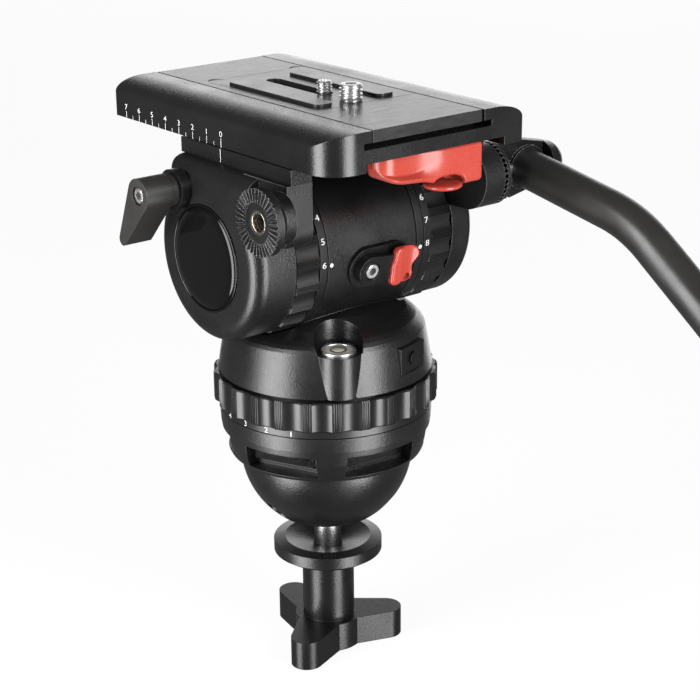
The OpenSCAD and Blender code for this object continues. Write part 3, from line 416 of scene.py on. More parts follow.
# %% Paint the solids
WORN_BY = {
    cast_black: "lower_base half_ball tie_cup pan_housing",
    housing_black_highlit: "left_housing right_housing handle_clamp",
    ring_black: "pan_drag_ring tilt_drag_ring balance_ring lock_collar",
    milled_black: "carriage top_rail",
    plate_grey: "camera_plate",
    moulded_grey: "lock_lever",
    moulded_black: "tie_knob handle_knob light_plate light_button "
                   "tilt_brake_hub pan_brake_hub tilt_brake_mount pan_brake_mount",
    lever_red: "tilt_brake_grip pan_brake_grip qr_lever qr_button",
    rubber: "handle_grip",
    pad_satin: "grip_pads",
    tube_satin: "handle_tube",
    badge_gloss: "badge",
    bright: "small_stud large_stud level_bezel",
    nickel: "rosette_inserts",
    vial_glass: "level_vial",
}
named = {node: material for material, names in WORN_BY.items() for node in names.split()}
for node, solid in nodes.items():
    solid.data.materials.clear()
    solid.data.materials.append(named.get(node, steel))
print(len(named), "solids painted,", len(nodes) - len(named), "left in steel")

# %% [markdown]
# ## The floor
# The picture is a packshot cut out on white, yet its blacks are deep: the head stood high
# over a dark studio. A pale floor right below it would show as a grey veil on every
# upright face, so this one is seen by the camera alone and stays out of reflections.

# %% Pale floor
FLOOR_Z, FLOOR_HALF, FLOOR_LINES = cad_box[0][2] - 0.0005, 6, 9
side = np.linspace(-FLOOR_HALF, FLOOR_HALF, FLOOR_LINES)
gx, gy = np.meshgrid(side, side, indexing="ij")
floor_points = np.stack([gx, gy, np.full_like(gx, FLOOR_Z)], -1).reshape(-1, 3)
floor_faces = quads(FLOOR_LINES, FLOOR_LINES, False, False)[:, ::-1]
floor_mesh = bpy.data.meshes.new("pale_floor")
floor_mesh.from_pydata(floor_points.tolist(), [], floor_faces.tolist())
floor = bpy.data.objects.new("pale_floor", floor_mesh)
bpy.context.scene.collection.objects.link(floor)
paper = finish("pale_paper", grey(0.05), grey(0.07), grain, speckle(60, 0.8, 0.9, mottle=2), 0.0,
               wear_and_highlight=0.0, Specular_IOR_Level=0.0, Emission_Color=(1, 1, 1, 1),
               Emission_Strength=0.93)
floor_mesh.materials.append(paper)
floor.visible_glossy = floor.visible_diffuse = floor.visible_shadow = False
print("floor at", round(FLOOR_Z, 4))

# %% [markdown]
# ## Studio light
# Every upright edge of the real head shows the same two bright bands, and the flat top
# of the plate is far lighter than its sides. The bands lie where a tall soft box on the
# left and another behind the head would mirror, and the light top mirrors a wide
# wall on the far side. The camera looks down, so the boxes reach far below the head:
# its upright faces mirror what is under the horizon. The room itself is dim, and only the
# camera sees it as white as the floor, so a low view has no grey sky behind the head.

# %% Dim room
WHITE, DIM, AS_SEEN = (1.0, 1.0, 1.0, 1), 0.18, 0.97
world = bpy.data.worlds.new("dim_room")
bpy.context.scene.world = world
world.use_nodes = True
tree = world.node_tree
room = tree.nodes["Background"]
room.inputs["Color"].default_value, room.inputs["Strength"].default_value = WHITE, DIM
seen = add(tree, "ShaderNodeBackground", [("Color", WHITE), ("Strength", AS_SEEN)])
ray = add(tree, "ShaderNodeLightPath")
both = add(tree, "ShaderNodeMixShader", [
    (0, ray.outputs["Is Camera Ray"]), (1, room.outputs[0]), (2, seen.outputs[0])])
tree.links.new(both.outputs[0], tree.nodes["World Output"].inputs["Surface"])
bpy.context.scene.view_settings.view_transform = "Standard"
print("room", DIM, "seen as", AS_SEEN)


# %% Soft boxes
def soft_box(name, turn, away, low, high, width, radiance):
    """A rectangle of light at an angle and a distance round the head, between two heights,
    facing it; its watts are radiance times area times pi."""
    data = bpy.data.lights.new(name, "AREA")
    data.shape, data.size, data.size_y = "RECTANGLE", width, high - low
    data.energy = radiance * width * (high - low) * math.pi
    lamp = bpy.data.objects.new(name, data)
    z = np.array([math.cos(math.radians(turn)), math.sin(math.radians(turn)), 0])
    x = np.cross((0, 0, 1), z)
    place_at(lamp, x, np.cross(z, x), z, away * z + np.array([0, 0, (low + high) / 2]))
    lamp.visible_camera = False
    bpy.context.scene.collection.objects.link(lamp)
    print(name, round(data.energy, 1), "W")


soft_box("left_box", turn=178, away=0.80, low=-0.60, high=0.80, width=0.46, radiance=11.8)
soft_box("rear_box", turn=-84, away=0.82, low=-0.60, high=0.80, width=0.44, radiance=11.0)
soft_box("far_wall", turn=43, away=2.4, low=-1.0, high=1.06, width=2.4, radiance=2.0)

# %% [markdown]
# ## The camera screws
# Two bright screws stand out of the plate. A thread is a round bar whose radius
# falls and rises along a helix, so the screw is a lathe profile with that wave
# added between the start and the end of its thread.


# %% Threaded screws
def threaded_bar(profile, thread, pitch, depth, core, centre, rows=360, cols=120):
    """Rows follow the (radius, height) profile and columns go round; within the thread's
    span, outside the core, the radius drops by a flat-bottomed wave of
    (height / pitch - angle / turn)."""
    profile = np.asarray(profile, float)
    reach = lengths(profile)
    along = np.unique(np.concatenate([reach, np.linspace(0, reach[-1], rows)]))
    r, z = (np.interp(along, reach, profile[:, k]) for k in (0, 1))
    z2, a2 = np.meshgrid(z, circle(cols), indexing="ij")
    saw = (z2 / pitch - a2 / (2 * np.pi)) % 1.0
    wave = np.clip(np.abs(saw * 2 - 1) * 2.4 - 0.5, 0, 1)
    run_in = np.clip((z - thread[0]) / (0.6 * pitch), 0, 1)
    run_out = np.clip((thread[1] - z) / (0.4 * pitch), 0, 1)
    cut = depth * wave * (run_in * run_out)[:, None] * (r > core)[:, None]
    r2 = np.maximum(r[:, None] - cut, 0)
    return np.stack([r2 * np.cos(a2), r2 * np.sin(a2), z2], -1) + np.asarray(centre)


def camera_screw(node, head_r, head_h, shank_r, thread_r, pitch):
    """Head, shank and threaded end of one screw, from the solid's own box."""
    low, high = box_mm(node)
    foot, top = low[2], high[2]
    cx, cy = (low + high)[:2] / 2
    profile = [(0, foot), (head_r, foot), (head_r, foot + head_h), (shank_r, foot + head_h),
               (shank_r, plate_top + 0.3), (thread_r, plate_top + 0.6), (thread_r, top - 0.7),
               (thread_r - 0.7, top), (thread_r * 0.5, top), (thread_r * 0.42, top - 0.5),
               (0, top - 0.6)]
    screw = threaded_bar(profile, (plate_top + 0.4, top - 0.3), pitch, 0.19 * thread_r,
                         0.7 * thread_r, (cx, cy, 0)) * MM
    name = node.replace("stud", "screw")
    return make_piece(name, spun(screw), node, silver, [node])


camera_screw("small_stud", head_r=5.9, head_h=0.9, shank_r=2.5, thread_r=3.175, pitch=1.27)
camera_screw("large_stud", head_r=7.2, head_h=1.3, shank_r=4.1, thread_r=4.7625, pitch=1.5875)

# %% [markdown]
# ## Printed scale, numbers and dots
# The white marks are ink, a few hundredths of a millimetre thick. Numerals come
# from Blender's own font, turned into a mesh, then wrapped by arrays: a flat mark
# keeps its two directions, and one on a ring takes its height as an angle.

# %% Shapes of ink
DOT_POINTS = 28


def numeral(text, height, widen=1.2):
    """Points and faces of a line of text in millimetres, about its middle, and widened."""
    curve = bpy.data.curves.new("numeral", "FONT")
    curve.body, curve.size, curve.offset, curve.resolution_u = text, 1.0, -0.005, 4
    carrier = bpy.data.objects.new("numeral", curve)
    bpy.context.scene.collection.objects.link(carrier)
    shown = carrier.evaluated_get(bpy.context.evaluated_depsgraph_get())
    mesh = bpy.data.meshes.new_from_object(shown)
    points = np.zeros(len(mesh.vertices) * 3)
    mesh.vertices.foreach_get("co", points)
    faces = [list(p.vertices) for p in mesh.polygons]
    bpy.data.objects.remove(carrier)
    bpy.data.curves.remove(curve)
    bpy.data.meshes.remove(mesh)
    flat = points.reshape(-1, 3)[:, :2]
    low, high = flat.min(0), flat.max(0)
    return (flat - (low + high) / 2) * (widen, 1) * height / (high[1] - low[1]), faces


def bar(width, height):
    """A rectangle of ink: two columns of two points."""
    ends = np.array([-0.5, 0.5])
    x, y = np.meshgrid(ends * width, ends * height)
    return np.stack([x, y], -1).reshape(-1, 2), quads(2, 2, False, False).tolist()


def dot(radius):
    """A round dot of ink: one ring of points and a single face."""
    a = circle(DOT_POINTS)
    return np.stack([np.cos(a), np.sin(a)], -1) * radius, [list(range(DOT_POINTS))]


print("ink comes as numerals, bars and dots")

# %% Laying ink on a surface
INK, SUNK = 0.05, 0.01


def rim_edges(cells):
    """The edges of one face only: all the faces' edges, less those that occur twice."""
    sides = np.concatenate([np.stack([cell, np.roll(cell, -1)], -1) for cell in cells])
    _, first, count = np.unique(np.sort(sides, axis=1), axis=0, return_index=True,
                                return_counts=True)
    return sides[first[count == 1]]


def ink_piece(name, marks, wrap, body, material=white_ink):
    """Marks are ((points, faces), across, along); wrap(across, along, lift) gives the place of
    each point. A second layer on the surface, joined to the first by a rim, gives thickness."""
    points, faces, start = [], [], 0
    for (flat, cells), across, along in marks:
        x, y, count = flat[:, 0] + across, flat[:, 1] + along, len(flat)
        points += [wrap(x, y, INK), wrap(x, y, SUNK)]
        rim = rim_edges(cells) + start
        faces += [[i + start for i in cell] for cell in cells]
        faces += [[i + start + count for i in cell[::-1]] for cell in cells]
        faces += np.concatenate([rim[:, ::-1], rim + count], axis=1).tolist()
        start += 2 * count
    mesh = bpy.data.meshes.new(name)
    mesh.from_pydata(np.concatenate(points).tolist(), [], faces)
    return finish_piece(name, mesh, body, material, smooth=False)


print("ink", INK, "mm thick")

# %% Centimetre scale on the left side
SCALE_0, CENTIMETRE, LINE, FINE_LINE, SHORT = 0.6, 10, 0.27, 0.22, 1.7
NUMBER_H, NUMBER_WIDE, NUMBER_UP = 2.2, 1.35, 1.75


def left_face(node):
    """The left side of a solid: across runs to the back, along runs up."""
    x = box_mm(node)[0][0]

    def wrap(across, along, lift):
        return np.stack([np.full_like(across, x - lift), -across, along], -1) * MM
    return wrap


foot, marks = box_mm("carriage")[0][2], []
for number in range(8):
    place, long = -(SCALE_0 + CENTIMETRE * number), 3.0 if number else 3.6
    marks.append((numeral(str(number), NUMBER_H, NUMBER_WIDE), place, foot + long + NUMBER_UP))
    marks.append((bar(LINE, long), place, foot + long / 2))
    if number < 7:
        marks.append((bar(FINE_LINE, SHORT), place - CENTIMETRE / 2, foot + SHORT / 2))
ink_piece("scale_marks", marks, left_face("carriage"), "carriage")
index = (bar(LINE, 5.4), -SCALE_0, box_mm("top_rail")[1][2] - 2.9)
ink_piece("scale_index", [index], left_face("top_rail"), "tilt")

# %% Numbers and dots on the tilt rings
DRUM, RING_NUMBER, DOT = 35.0, 2.5, 0.85


def round_drum(across, along, lift):
    """The drum about the tilt axis: across follows the axis, along is the arc up from the back."""
    a = along / DRUM
    return tilt(across, -(DRUM + lift) * np.cos(a), (DRUM + lift) * np.sin(a))


def arc(degrees):
    """The arc on the drum that belongs to an angle."""
    return DRUM * math.radians(degrees)


def ring_numbers(last, first_angle, step, place):
    """The numbers from the last down to nought, one every step degrees up from the first."""
    return [(numeral(str(last - i), RING_NUMBER), place, arc(first_angle + step * i))
            for i in range(last + 1)]


ink_piece("drag_numbers", ring_numbers(6, -2.3, 15.9, -25.2), round_drum, "tilt_ring")
ink_piece("balance_numbers", ring_numbers(8, -3.7, 15.85, 28.75), round_drum, "balance_dial")
dots = [(dot(DOT), -21.6, arc(-3.3)), (dot(DOT), 24.9, arc(-5.4))]
ink_piece("drum_dots", dots, round_drum, "pan")

# %% Numbers on the pan ring
PAN_BAND, PAN_NUMBER_H, PAN_NUMBER_Z, PAN_FIRST, PAN_STEP = 46.0, 2.3, 22.4, -146.0, -14.3


def round_pan(across, along, lift):
    """The number band of the pan ring: across runs round it, along is the height."""
    a = across / PAN_BAND
    r = PAN_BAND + lift
    return np.stack([r * np.cos(a), r * np.sin(a), along], -1) * MM


pan_marks = [(numeral(str(i + 1), PAN_NUMBER_H),
              PAN_BAND * math.radians(PAN_FIRST + PAN_STEP * i), PAN_NUMBER_Z) for i in range(7)]
ink_piece("pan_numbers", pan_marks, round_pan, "pan_ring")

# %% [markdown]
# ## The red release lever
# The lever under the plate is a soft moulding: a long body with a rounded tip, a
# hollow for the thumb, a lip below it, and an arch over the push button. It could
# be carved from a block, but a section carried along its length is easier to steer:
# each section is a rounded rectangle whose size follows the outline, and its rear
# wall is pressed in where the thumb goes. Behind the arch, a round well leaves the
# button room to rise.


# %% Section helpers
def rounded_section(half_w, half_h, radius, count):
    """Points round a rectangle, one row for each size: a point in a corner's square is pulled on
    to the corner's arc, the others stay. Starts at the bottom of the side with negative width."""
    edge = np.linspace(-1, 1, count, endpoint=False)
    one = np.ones(count)
    u = np.concatenate([-one, edge, one, -edge])
    v = np.concatenate([edge, one, -edge, -one])
    w, h, r = (np.asarray(x, float)[:, None] for x in (half_w, half_h, radius))
    y, z = u * w, v * h
    iy, iz = np.clip(y, r - w, w - r), np.clip(z, r - h, h - r)
    d = np.hypot(y - iy, z - iz)
    k = np.where(d > 1e-9, r / np.maximum(d, 1e-9), 0)
    return iy + (y - iy) * k, iz + (z - iz) * k


def eased(x, xs, ys, blur):
    """A broken line through the given points, rounded by averaging it over a width of blur."""
    shift = np.linspace(-blur, blur, 21)
    return np.interp(x[:, None] + shift, xs, ys).mean(axis=1)


print("sections are rounded rectangles, and their sizes eased lines")

# %% Lever: stations along its length
LEVER_TOP, TIP, END, NOSE, HEEL = 46.8, -32.4, 18.0, 8.0, 2.0
TIP_ROWS, BODY_ROWS, HEEL_ROWS = 40, 260, 12
tip_turn, heel_turn = (np.linspace(0, np.pi / 2, rows) for rows in (TIP_ROWS, HEEL_ROWS))
body_x = np.concatenate([TIP + NOSE * (1 - np.cos(tip_turn)),
                         np.linspace(TIP + NOSE, END - HEEL, BODY_ROWS)[1:],
                         END - HEEL + HEEL * np.sin(heel_turn)[1:], np.full(HEEL_ROWS, END)])
inset = np.concatenate([np.zeros(TIP_ROWS + BODY_ROWS - 1), HEEL * (1 - np.cos(heel_turn))[1:],
                        np.full(HEEL_ROWS, HEEL)])
shrink = np.concatenate([np.ones(len(body_x) - HEEL_ROWS), np.linspace(0.92, 0, HEEL_ROWS)])
print(len(body_x), "sections from", TIP, "to", END)

# %% Lever: sections with the arch and the well
FOOT, ARCH_HALF, ARCH_RISE, ARCH_POWER = 30.6, 8.4, 4.4, 2.5
PIN_BACK, WELL_R, WELL_WALL, WELL_ROOF = 4, 8.3, 0.4, 35.2
CORNER, THIN = 1.7, 0.02
bottom = eased(body_x, [-32.4, -31.6, -30, -27.3, -22.5, -12, 4, 18],
               [42.6, 40, 38, 36.3, 35.3, 34.5, FOOT, FOOT], 1.0)
arch = np.clip(1 - np.abs(body_x / ARCH_HALF) ** ARCH_POWER, 0, 1) ** (1 / ARCH_POWER)
bottom = np.maximum(bottom, FOOT + ARCH_RISE * arch)
nose = np.sqrt(np.clip(NOSE ** 2 - (body_x - TIP - NOSE) ** 2, 0, NOSE ** 2))
half_y = (np.where(body_x < TIP + NOSE, nose, NOSE) - inset).clip(THIN) * shrink
half_z = ((LEVER_TOP - bottom) / 2 - inset).clip(THIN) * shrink
corner = np.minimum(CORNER, np.minimum(0.7 * half_y, 0.45 * half_z))
sy, sz = rounded_section(half_y, half_z, corner, 44)
under = np.isclose(sz, -half_z[:, None])
sz = sz + (LEVER_TOP + bottom)[:, None] / 2
well = np.clip((WELL_R - np.hypot(body_x[:, None], sy + PIN_BACK)) / WELL_WALL, 0, 1) * under
sz = sz + well * np.clip(WELL_ROOF - sz, 0, None)
print("the arch rises to", round(float(bottom[np.abs(body_x) < ARCH_HALF].max()), 2))

# %% Lever: thumb hollow
LEVER_X, LEVER_Y = 12.0, -59.0
hollow = np.interp(body_x, [-34, -31, -27, -22, -17, -13, -8, -4, 0, 9],
                   [0.2, 1.0, 2.0, 2.6, 2.7, 2.5, 1.5, 0.5, 0.2, 0])
hollow = eased(body_x, body_x, hollow, 2.0)
lip = eased(body_x, [-33, -30, -25, -18, -13, -8, -3, 4, 18],
            [41.6, 39.3, 38, 37.5, 37.6, 38.4, 39, 39, 39], 1.5)
blend = eased(body_x, [-33, -15, -6, 18], [1.3, 1.5, 7, 7], 2.0)
press = hollow[:, None] * np.clip((sz - lip[:, None]) / blend[:, None] + 0.5, 0, 1) * (sy < 0)
press = press * np.clip(-sy / half_y.clip(0.1)[:, None], 0, 1)
lever = tilt(LEVER_X + body_x[:, None] + 0 * sy, LEVER_Y + sy + press, sz)
make_piece("release_lever", spun(lever), "quick_release", lever_red, ["qr_lever"])

# %% [markdown]
# ## The release button
# A round red button sits under the lever's arch. It is a lathe profile: a flat top with a
# broken edge, a quarter of an ellipse below it, and a shallow dish underneath.

# %% Release button
KNOB_MIDDLE, KNOB_ROUND, KNOB_LOW = 5.4, 2.4, 1.3
low, high = box_mm("qr_button")
swell = np.linspace(0, np.pi / 2, 12)
soft_edge = np.stack([KNOB_MIDDLE + KNOB_ROUND * np.cos(swell),
                      KNOB_LOW - KNOB_LOW * np.sin(swell)], -1)
knob = np.concatenate([[(0, 2.1), (6.9, 2.1), (7.3, 1.95), (7.6, 1.7)], soft_edge, [(0, 0.25)]])
make_piece("release_knob", spun(lathe_z(knob, (low + high)[:2] / 2, low[2])), "release_button",
           lever_red, ["qr_button"])

# %% [markdown]
# ## The brakes' red grips
# Each brake lever ends in a small red grip: a straight heel, a large lobe and a smaller
# toe, with a hollow for the thumb and one little hole. Its outline is a closed curve, and
# the grip is that outline shrunk row by row towards its middle: down the side, over the
# rounded edge, and across the hollowed face.

# %% Outline of a brake grip
OUTLINE = np.array([
    (9.7, -4.7), (9.6, -1.5), (9.6, 1.5), (10.6, 3.2), (10.7, 6.4), (11.8, 8), (16.4, 8.2),
    (20, 7.9), (22.8, 6.5), (23.5, 3.6), (22.3, 1.4), (20.8, -1), (20.9, -3.2), (21.4, -5.4),
    (20.5, -7.8), (17, -8.4), (15.3, -7.7), (13.4, -8.3), (11.2, -8.5), (9.9, -7.4)])


def soft_loop(knots, cols=260, blur=0.9):
    """A closed broken line, rounded by averaging it over a width of blur on both sides."""
    loop = np.concatenate([knots, knots[:1]])
    reach = lengths(loop)
    t = np.linspace(0, reach[-1], cols, endpoint=False)
    near = (t[:, None] + np.linspace(-blur, blur, 15)) % reach[-1]
    return np.stack([np.interp(near, reach, loop[:, k]).mean(axis=1) for k in (0, 1)], -1)


print("outline of", len(OUTLINE), "points")

# %% Body of a brake grip
GRIP_EDGE, GRIP_FACE, GRIP_HALF, GRIP_MIDDLE = 1.1, 5.2, 7.5, np.array([16.0, 0.0])
DIP, DIP_X, DIP_HALF = 1.3, 18.6, 4.6
PIT, PIT_AT, PIT_R, PIT_WALL = 2.2, (18.3, -6.0), 1.7, 0.3
FACE_ROWS = 70


def brake_grip():
    """Rows run from the middle of the back over the rim to the middle of the face, columns follow
    the outline. The face sinks by a parabola across the hollow and by a round pit at the hole."""
    turn, inner = np.linspace(0, np.pi / 2, 9), GRIP_EDGE / GRIP_HALF
    scale = np.concatenate([np.linspace(0, 0.62, 6), [0.8, 0.95, 1, 1],
                            1 - GRIP_EDGE * (1 - np.cos(turn)) / GRIP_HALF,
                            np.linspace(1 - inner, 0, FACE_ROWS)[1:]])
    height = np.concatenate([np.zeros(6), [0.9, 2.0, 2.7, 3.4],
                             GRIP_FACE - GRIP_EDGE + GRIP_EDGE * np.sin(turn),
                             np.full(FACE_ROWS - 1, GRIP_FACE)])
    flat = GRIP_MIDDLE + scale[:, None, None] * (soft_loop(OUTLINE) - GRIP_MIDDLE)
    x, y = flat[..., 0], flat[..., 1]
    dip = DIP * np.clip(1 - ((x - DIP_X) / DIP_HALF) ** 2, 0, 1)
    pit = PIT * np.clip((PIT_R - np.hypot(x - PIT_AT[0], y - PIT_AT[1])) / PIT_WALL, 0, 1)
    return x, y, height[:, None] - (dip + pit) * (height > 4)[:, None]


grip_xyz = brake_grip()
print("grip of", grip_xyz[0].shape, "points")

# %% Brake grips in place
TILT_BRAKE_X, TILT_BRAKE_OUT, TILT_BRAKE_DIP = -4.5, 36.8, math.radians(9.9)
PAN_BRAKE_UP, PAN_BRAKE_OUT, PAN_BRAKE_TURN = 47.2, 49.7, math.radians(15)


def on_tilt_brake(x, y, z):
    """The tilt brake's frame: x to the right, y up, z out of the drum and a little down."""
    c, s, out = math.cos(TILT_BRAKE_DIP), math.sin(TILT_BRAKE_DIP), z + TILT_BRAKE_OUT
    return tilt(x + TILT_BRAKE_X, -out * c - y * s, -out * s + y * c)


def on_pan_brake(x, y, z):
    """The pan brake's frame: x round the housing, y up and z out of it."""
    c, s, out = math.cos(PAN_BRAKE_TURN), math.sin(PAN_BRAKE_TURN), z + PAN_BRAKE_OUT
    return np.stack([out * c - x * s, out * s + x * c, y + PAN_BRAKE_UP], -1) * MM


for body, on_brake in (("tilt_brake", on_tilt_brake), ("pan_brake", on_pan_brake)):
    make_piece(body + "_handle", spun(on_brake(*grip_xyz)), body, lever_red, [body + "_grip"])

# %% [markdown]
# ## The badge
# A clear dome covers the round badge on the left side. Its face is bare and black, nearly
# flat, and turns down sharply at the border, where the light catches. A lathe profile
# gives both the dome and the thin rim around it.

# %% Badge dome
BADGE_R, RIM, FACE_X, BORDER = 22.3, 1.2, -58.05, 4.5
CROWN, SAG, DROP, FOOT_OUT = 1.75, 0.25, 1.5, -0.9
sweep = np.linspace(0, np.pi / 2, 24)[1:]
dome_r = BADGE_R - RIM - 0.15
bow = np.linspace(0, dome_r - BORDER, 30)
shoulder = CROWN - SAG * (1 - BORDER / dome_r) ** 2
dome_out = np.concatenate([CROWN - SAG * (bow / dome_r) ** 2,
                           shoulder - DROP * (1 - np.cos(sweep * 0.94))])
dome_in = np.concatenate([bow, dome_r - BORDER + BORDER * np.sin(sweep)])
ridge = np.linspace(np.pi, 0, 16)
rim = np.stack([BADGE_R - RIM / 2 + RIM / 2 * np.cos(ridge), 0.3 + 0.6 * np.sin(ridge)], -1)
r, out = np.concatenate([np.stack([dome_in, dome_out], -1), [(dome_r, -0.4)], rim,
                         [(BADGE_R, FOOT_OUT), (0, FOOT_OUT)]]).T[:, :, None]
around = circle(180)
badge = tilt(FACE_X - out + 0 * around, r * np.cos(around), r * np.sin(around))
make_piece("badge_dome", spun(badge), "tilt", badge_gloss, ["badge"])

# %% [markdown]
# ## The knurled rings
# Round each setting ring, smooth scallops take turns with lands that carry fine ridges.
# A ring is a profile carried round its axis, and the knurl is a depth taken off the
# radius: an arc of a circle in the scallop, a cosine wave on the land.

# %% Knurl
SCALLOP, RIDGE, COLS_EACH, SCALLOP_ARC = 1.2, 0.45, 64, 0.16


def knurled_ring(rows, radius, count):
    """Rows are (radius, height, share of the knurl); the angle starts in a scallop's middle.
    The depth is an arc of a circle in a scallop and a raised cosine on a land."""
    step, bend = 2 * np.pi * radius / count, SCALLOP_ARC * radius
    half = math.sqrt(bend ** 2 - (bend - SCALLOP) ** 2)
    angle = np.arange(count * COLS_EACH) / (count * COLS_EACH) * 2 * np.pi
    along = np.abs((angle * radius / step + 0.5) % 1 - 0.5) * step
    scallop = np.sqrt(np.clip(bend ** 2 - along ** 2, 0, None)) - bend + SCALLOP
    land = np.clip((along - half) / (step / 2 - half), 0, 1)
    depth = np.where(along < half, scallop, RIDGE * (0.5 - 0.5 * np.cos(4 * np.pi * land)))
    r, z, share = np.asarray(rows, float).T
    return angle, r[:, None] - share[:, None] * depth, np.repeat(z[:, None], len(angle), 1)


print("scallops", SCALLOP, "mm deep, ridges", RIDGE, "mm")

# %% Pan drag ring
PAN_RING, PAN_LOW, PAN_HIGH, PAN_SCALLOPS = 48.2, 20.7, 36.9, 25
pan_rows = [(44.2, PAN_LOW, 0), (45.8, PAN_LOW, 0), (46, PAN_LOW + 0.2, 0), (46, PAN_LOW + 3.4, 0),
            (47.6, PAN_LOW + 3.4, 1), (PAN_RING, PAN_LOW + 4, 1), (PAN_RING, PAN_HIGH - 0.6, 1),
            (47.6, PAN_HIGH, 1), (42.65, PAN_HIGH, 0), (42.65, PAN_LOW + 4.4, 0),
            (44.2, PAN_LOW + 4.4, 0)]
angle, r2, z2 = knurled_ring(pan_rows, PAN_RING, PAN_SCALLOPS)
pan_knurl = np.stack([r2 * np.cos(angle), r2 * np.sin(angle), z2], -1) * MM
make_piece("pan_knurl", looped(pan_knurl), "pan_ring", ring_black, ["pan_drag_ring"])

# %% Tilt drag and balance rings
TILT_RING, BORE, BAND, WIDE, KNURL, TILT_SCALLOPS = 35.4, 25.05, 35, 15.4, 11.7, 22
tilt_rows = [(BORE, 0, 0), (33.4, 0, 0), (34.8, 0, 1), (TILT_RING, 0.6, 1), (TILT_RING, 0.7, 1),
             (TILT_RING, KNURL - 0.5, 1), (TILT_RING, KNURL - 0.4, 1), (BAND, KNURL, 1),
             (34.9, KNURL, 0), (BAND, KNURL + 0.1, 0), (BAND, KNURL + 0.2, 0),
             (BAND, WIDE - 0.2, 0), (34.8, WIDE, 0), (BORE, WIDE, 0)]
angle, r2, z2 = knurled_ring(tilt_rows, TILT_RING, TILT_SCALLOPS)
for name, node, body, end, way in (("drag_knurl", "tilt_drag_ring", "tilt_ring", 0, 1),
                                   ("balance_knurl", "balance_ring", "balance_dial", 1, -1)):
    outer_x = box_mm(node)[end][0] - TILT_X
    ring = tilt(outer_x + way * z2, r2 * np.sin(angle), -r2 * np.cos(angle))
    make_piece(name, looped(ring), body, ring_black, [node])

# %% [markdown]
# ## Socket screws
# The brakes and the lock lever are held by screws with a hexagon socket. The six-sided
# mouth is a circle whose radius is cut back to the flats, and a dark plate, painted shade, closes
# its foot.

# %% Socket screws
SCREW_R, MOUTH, MOUTH_FOOT, SHADE_R = 3.1, 1.75, 1.65, 1.6


def socket_screw(profile, cols=96):
    """Rows are (radius, height, share of the hexagon); the radius shrinks by cos 30 over cos of
    the angle from the nearest flat's middle."""
    angle = circle(cols)
    flats = math.cos(math.pi / 6) / np.cos(angle % (math.pi / 3) - math.pi / 6)
    r, z, share = np.asarray(profile, float).T
    r2 = r[:, None] * (1 + share[:, None] * (flats - 1))
    return r2 * np.cos(angle), r2 * np.sin(angle), np.repeat(z[:, None], cols, 1)


def on_lock(x, y, z):
    """The lock screw's frame: z points out of the lever's side."""
    low, high = box_mm("lock_screw")
    return np.stack([high[0] - z, (low + high)[1] / 2 + x, (low + high)[2] / 2 + y], -1) * MM


for node, body, place, base, tall in (("tilt_brake_screw", "tilt_brake", on_tilt_brake, 2.6, 1.2),
                                      ("pan_brake_screw", "pan_brake", on_pan_brake, 2.6, 1.2),
                                      ("lock_screw", "slide_lock", on_lock, 0.0, 0.8)):
    top, foot = base + tall, base + 0.15
    head = socket_screw([(0, base, 0), (SCREW_R, base, 0), (SCREW_R, top - 0.3, 0),
                         (SCREW_R - 0.3, top, 0), (MOUTH, top, 1), (MOUTH_FOOT, foot, 1),
                         (0, foot, 1)])
    # A dark plate at the socket's foot: painted shade for the deep socket.
    shade = socket_screw([(0, foot - 0.1, 1), (SHADE_R, foot - 0.1, 1), (SHADE_R, foot + 0.06, 1),
                          (0, foot + 0.06, 1)])
    make_piece(node + "_head", spun(place(*head)), body, silver, [node])
    make_piece(node + "_socket", spun(place(*shade)), body, dark_print_and_shade)

# %% [markdown]
# ## Threaded sleeves in the rosettes
# A nickelled sleeve sits in each rosette. It is a closed loop of profile points carried
# round the axis. The groove of the left one's thread lies in shade and shows as a dark line,
# so a thin dark round wire, painted shade, is wound as a helix along its bore.

# %% Rosette sleeves
ROSETTE_Y, ROSETTE_Z, SLEEVE_R = -42.0, 24.5, 4.78


def rosette(x, radius, angle):
    """A place round the rosettes' axis."""
    return tilt(x, ROSETTE_Y + radius * np.cos(angle), ROSETTE_Z + radius * np.sin(angle))


def sleeve(x0, x1, bore):
    """Rows run along the outside, over one end, back through the bore and over the rounded end."""
    x, r = np.array([(x0 + 0.4, SLEEVE_R), (x1, SLEEVE_R), (x1, bore), (x0 + 0.5, bore),
                     (x0 + 0.1, bore + 0.2), (x0, bore + 0.5), (x0, SLEEVE_R - 0.3)]).T
    angle = circle(72)
    return rosette(x[:, None] + 0 * angle, r[:, None], angle + 0 * x[:, None])


def helix(x0, turns, pitch, radius, wire):
    """A round wire about the axis: its middle turns and moves on together, its section is a circle
    that shrinks to a point at both ends."""
    t = np.linspace(0, turns, 48 * turns)[:, None]
    a = circle(10)
    size = wire * np.clip(np.minimum(t, turns - t) * 8, 0, 1)
    return rosette(x0 + pitch * t + size * np.cos(a), radius + size * np.sin(a),
                   2 * np.pi * t + 0 * a)


make_piece("rosette_sleeves", looped(sleeve(-62.0, -51.6, 3.5), sleeve(44.7, 52.8, 3.8)), "tilt",
           nickel, ["rosette_inserts"])
# Painted shade: a dark wire lying in the thread's groove.
make_piece("sleeve_thread_shade", spun(helix(-61.2, 6, 1.4, 3.55, 0.36)), "tilt", dark_print_and_shade)

# %% [markdown]
# ## Marks on the camera plate
# The top of the camera plate shows a few fine dark lines and two finger notches.
# They are drawn as thin dark strips on the plate's upper face; the notches' dark crescents are
# painted shade of the hollows.

# %% Plate marks
NOTCH_Y, PLATE_LINE = 47.6, 0.22


def plate_face(across, along, lift):
    """The plate's top: across is to the right of its middle, along is to the front."""
    return np.stack([across + TILT_X, along, np.full_like(across, plate_top + 0.4 * lift)], -1) * MM


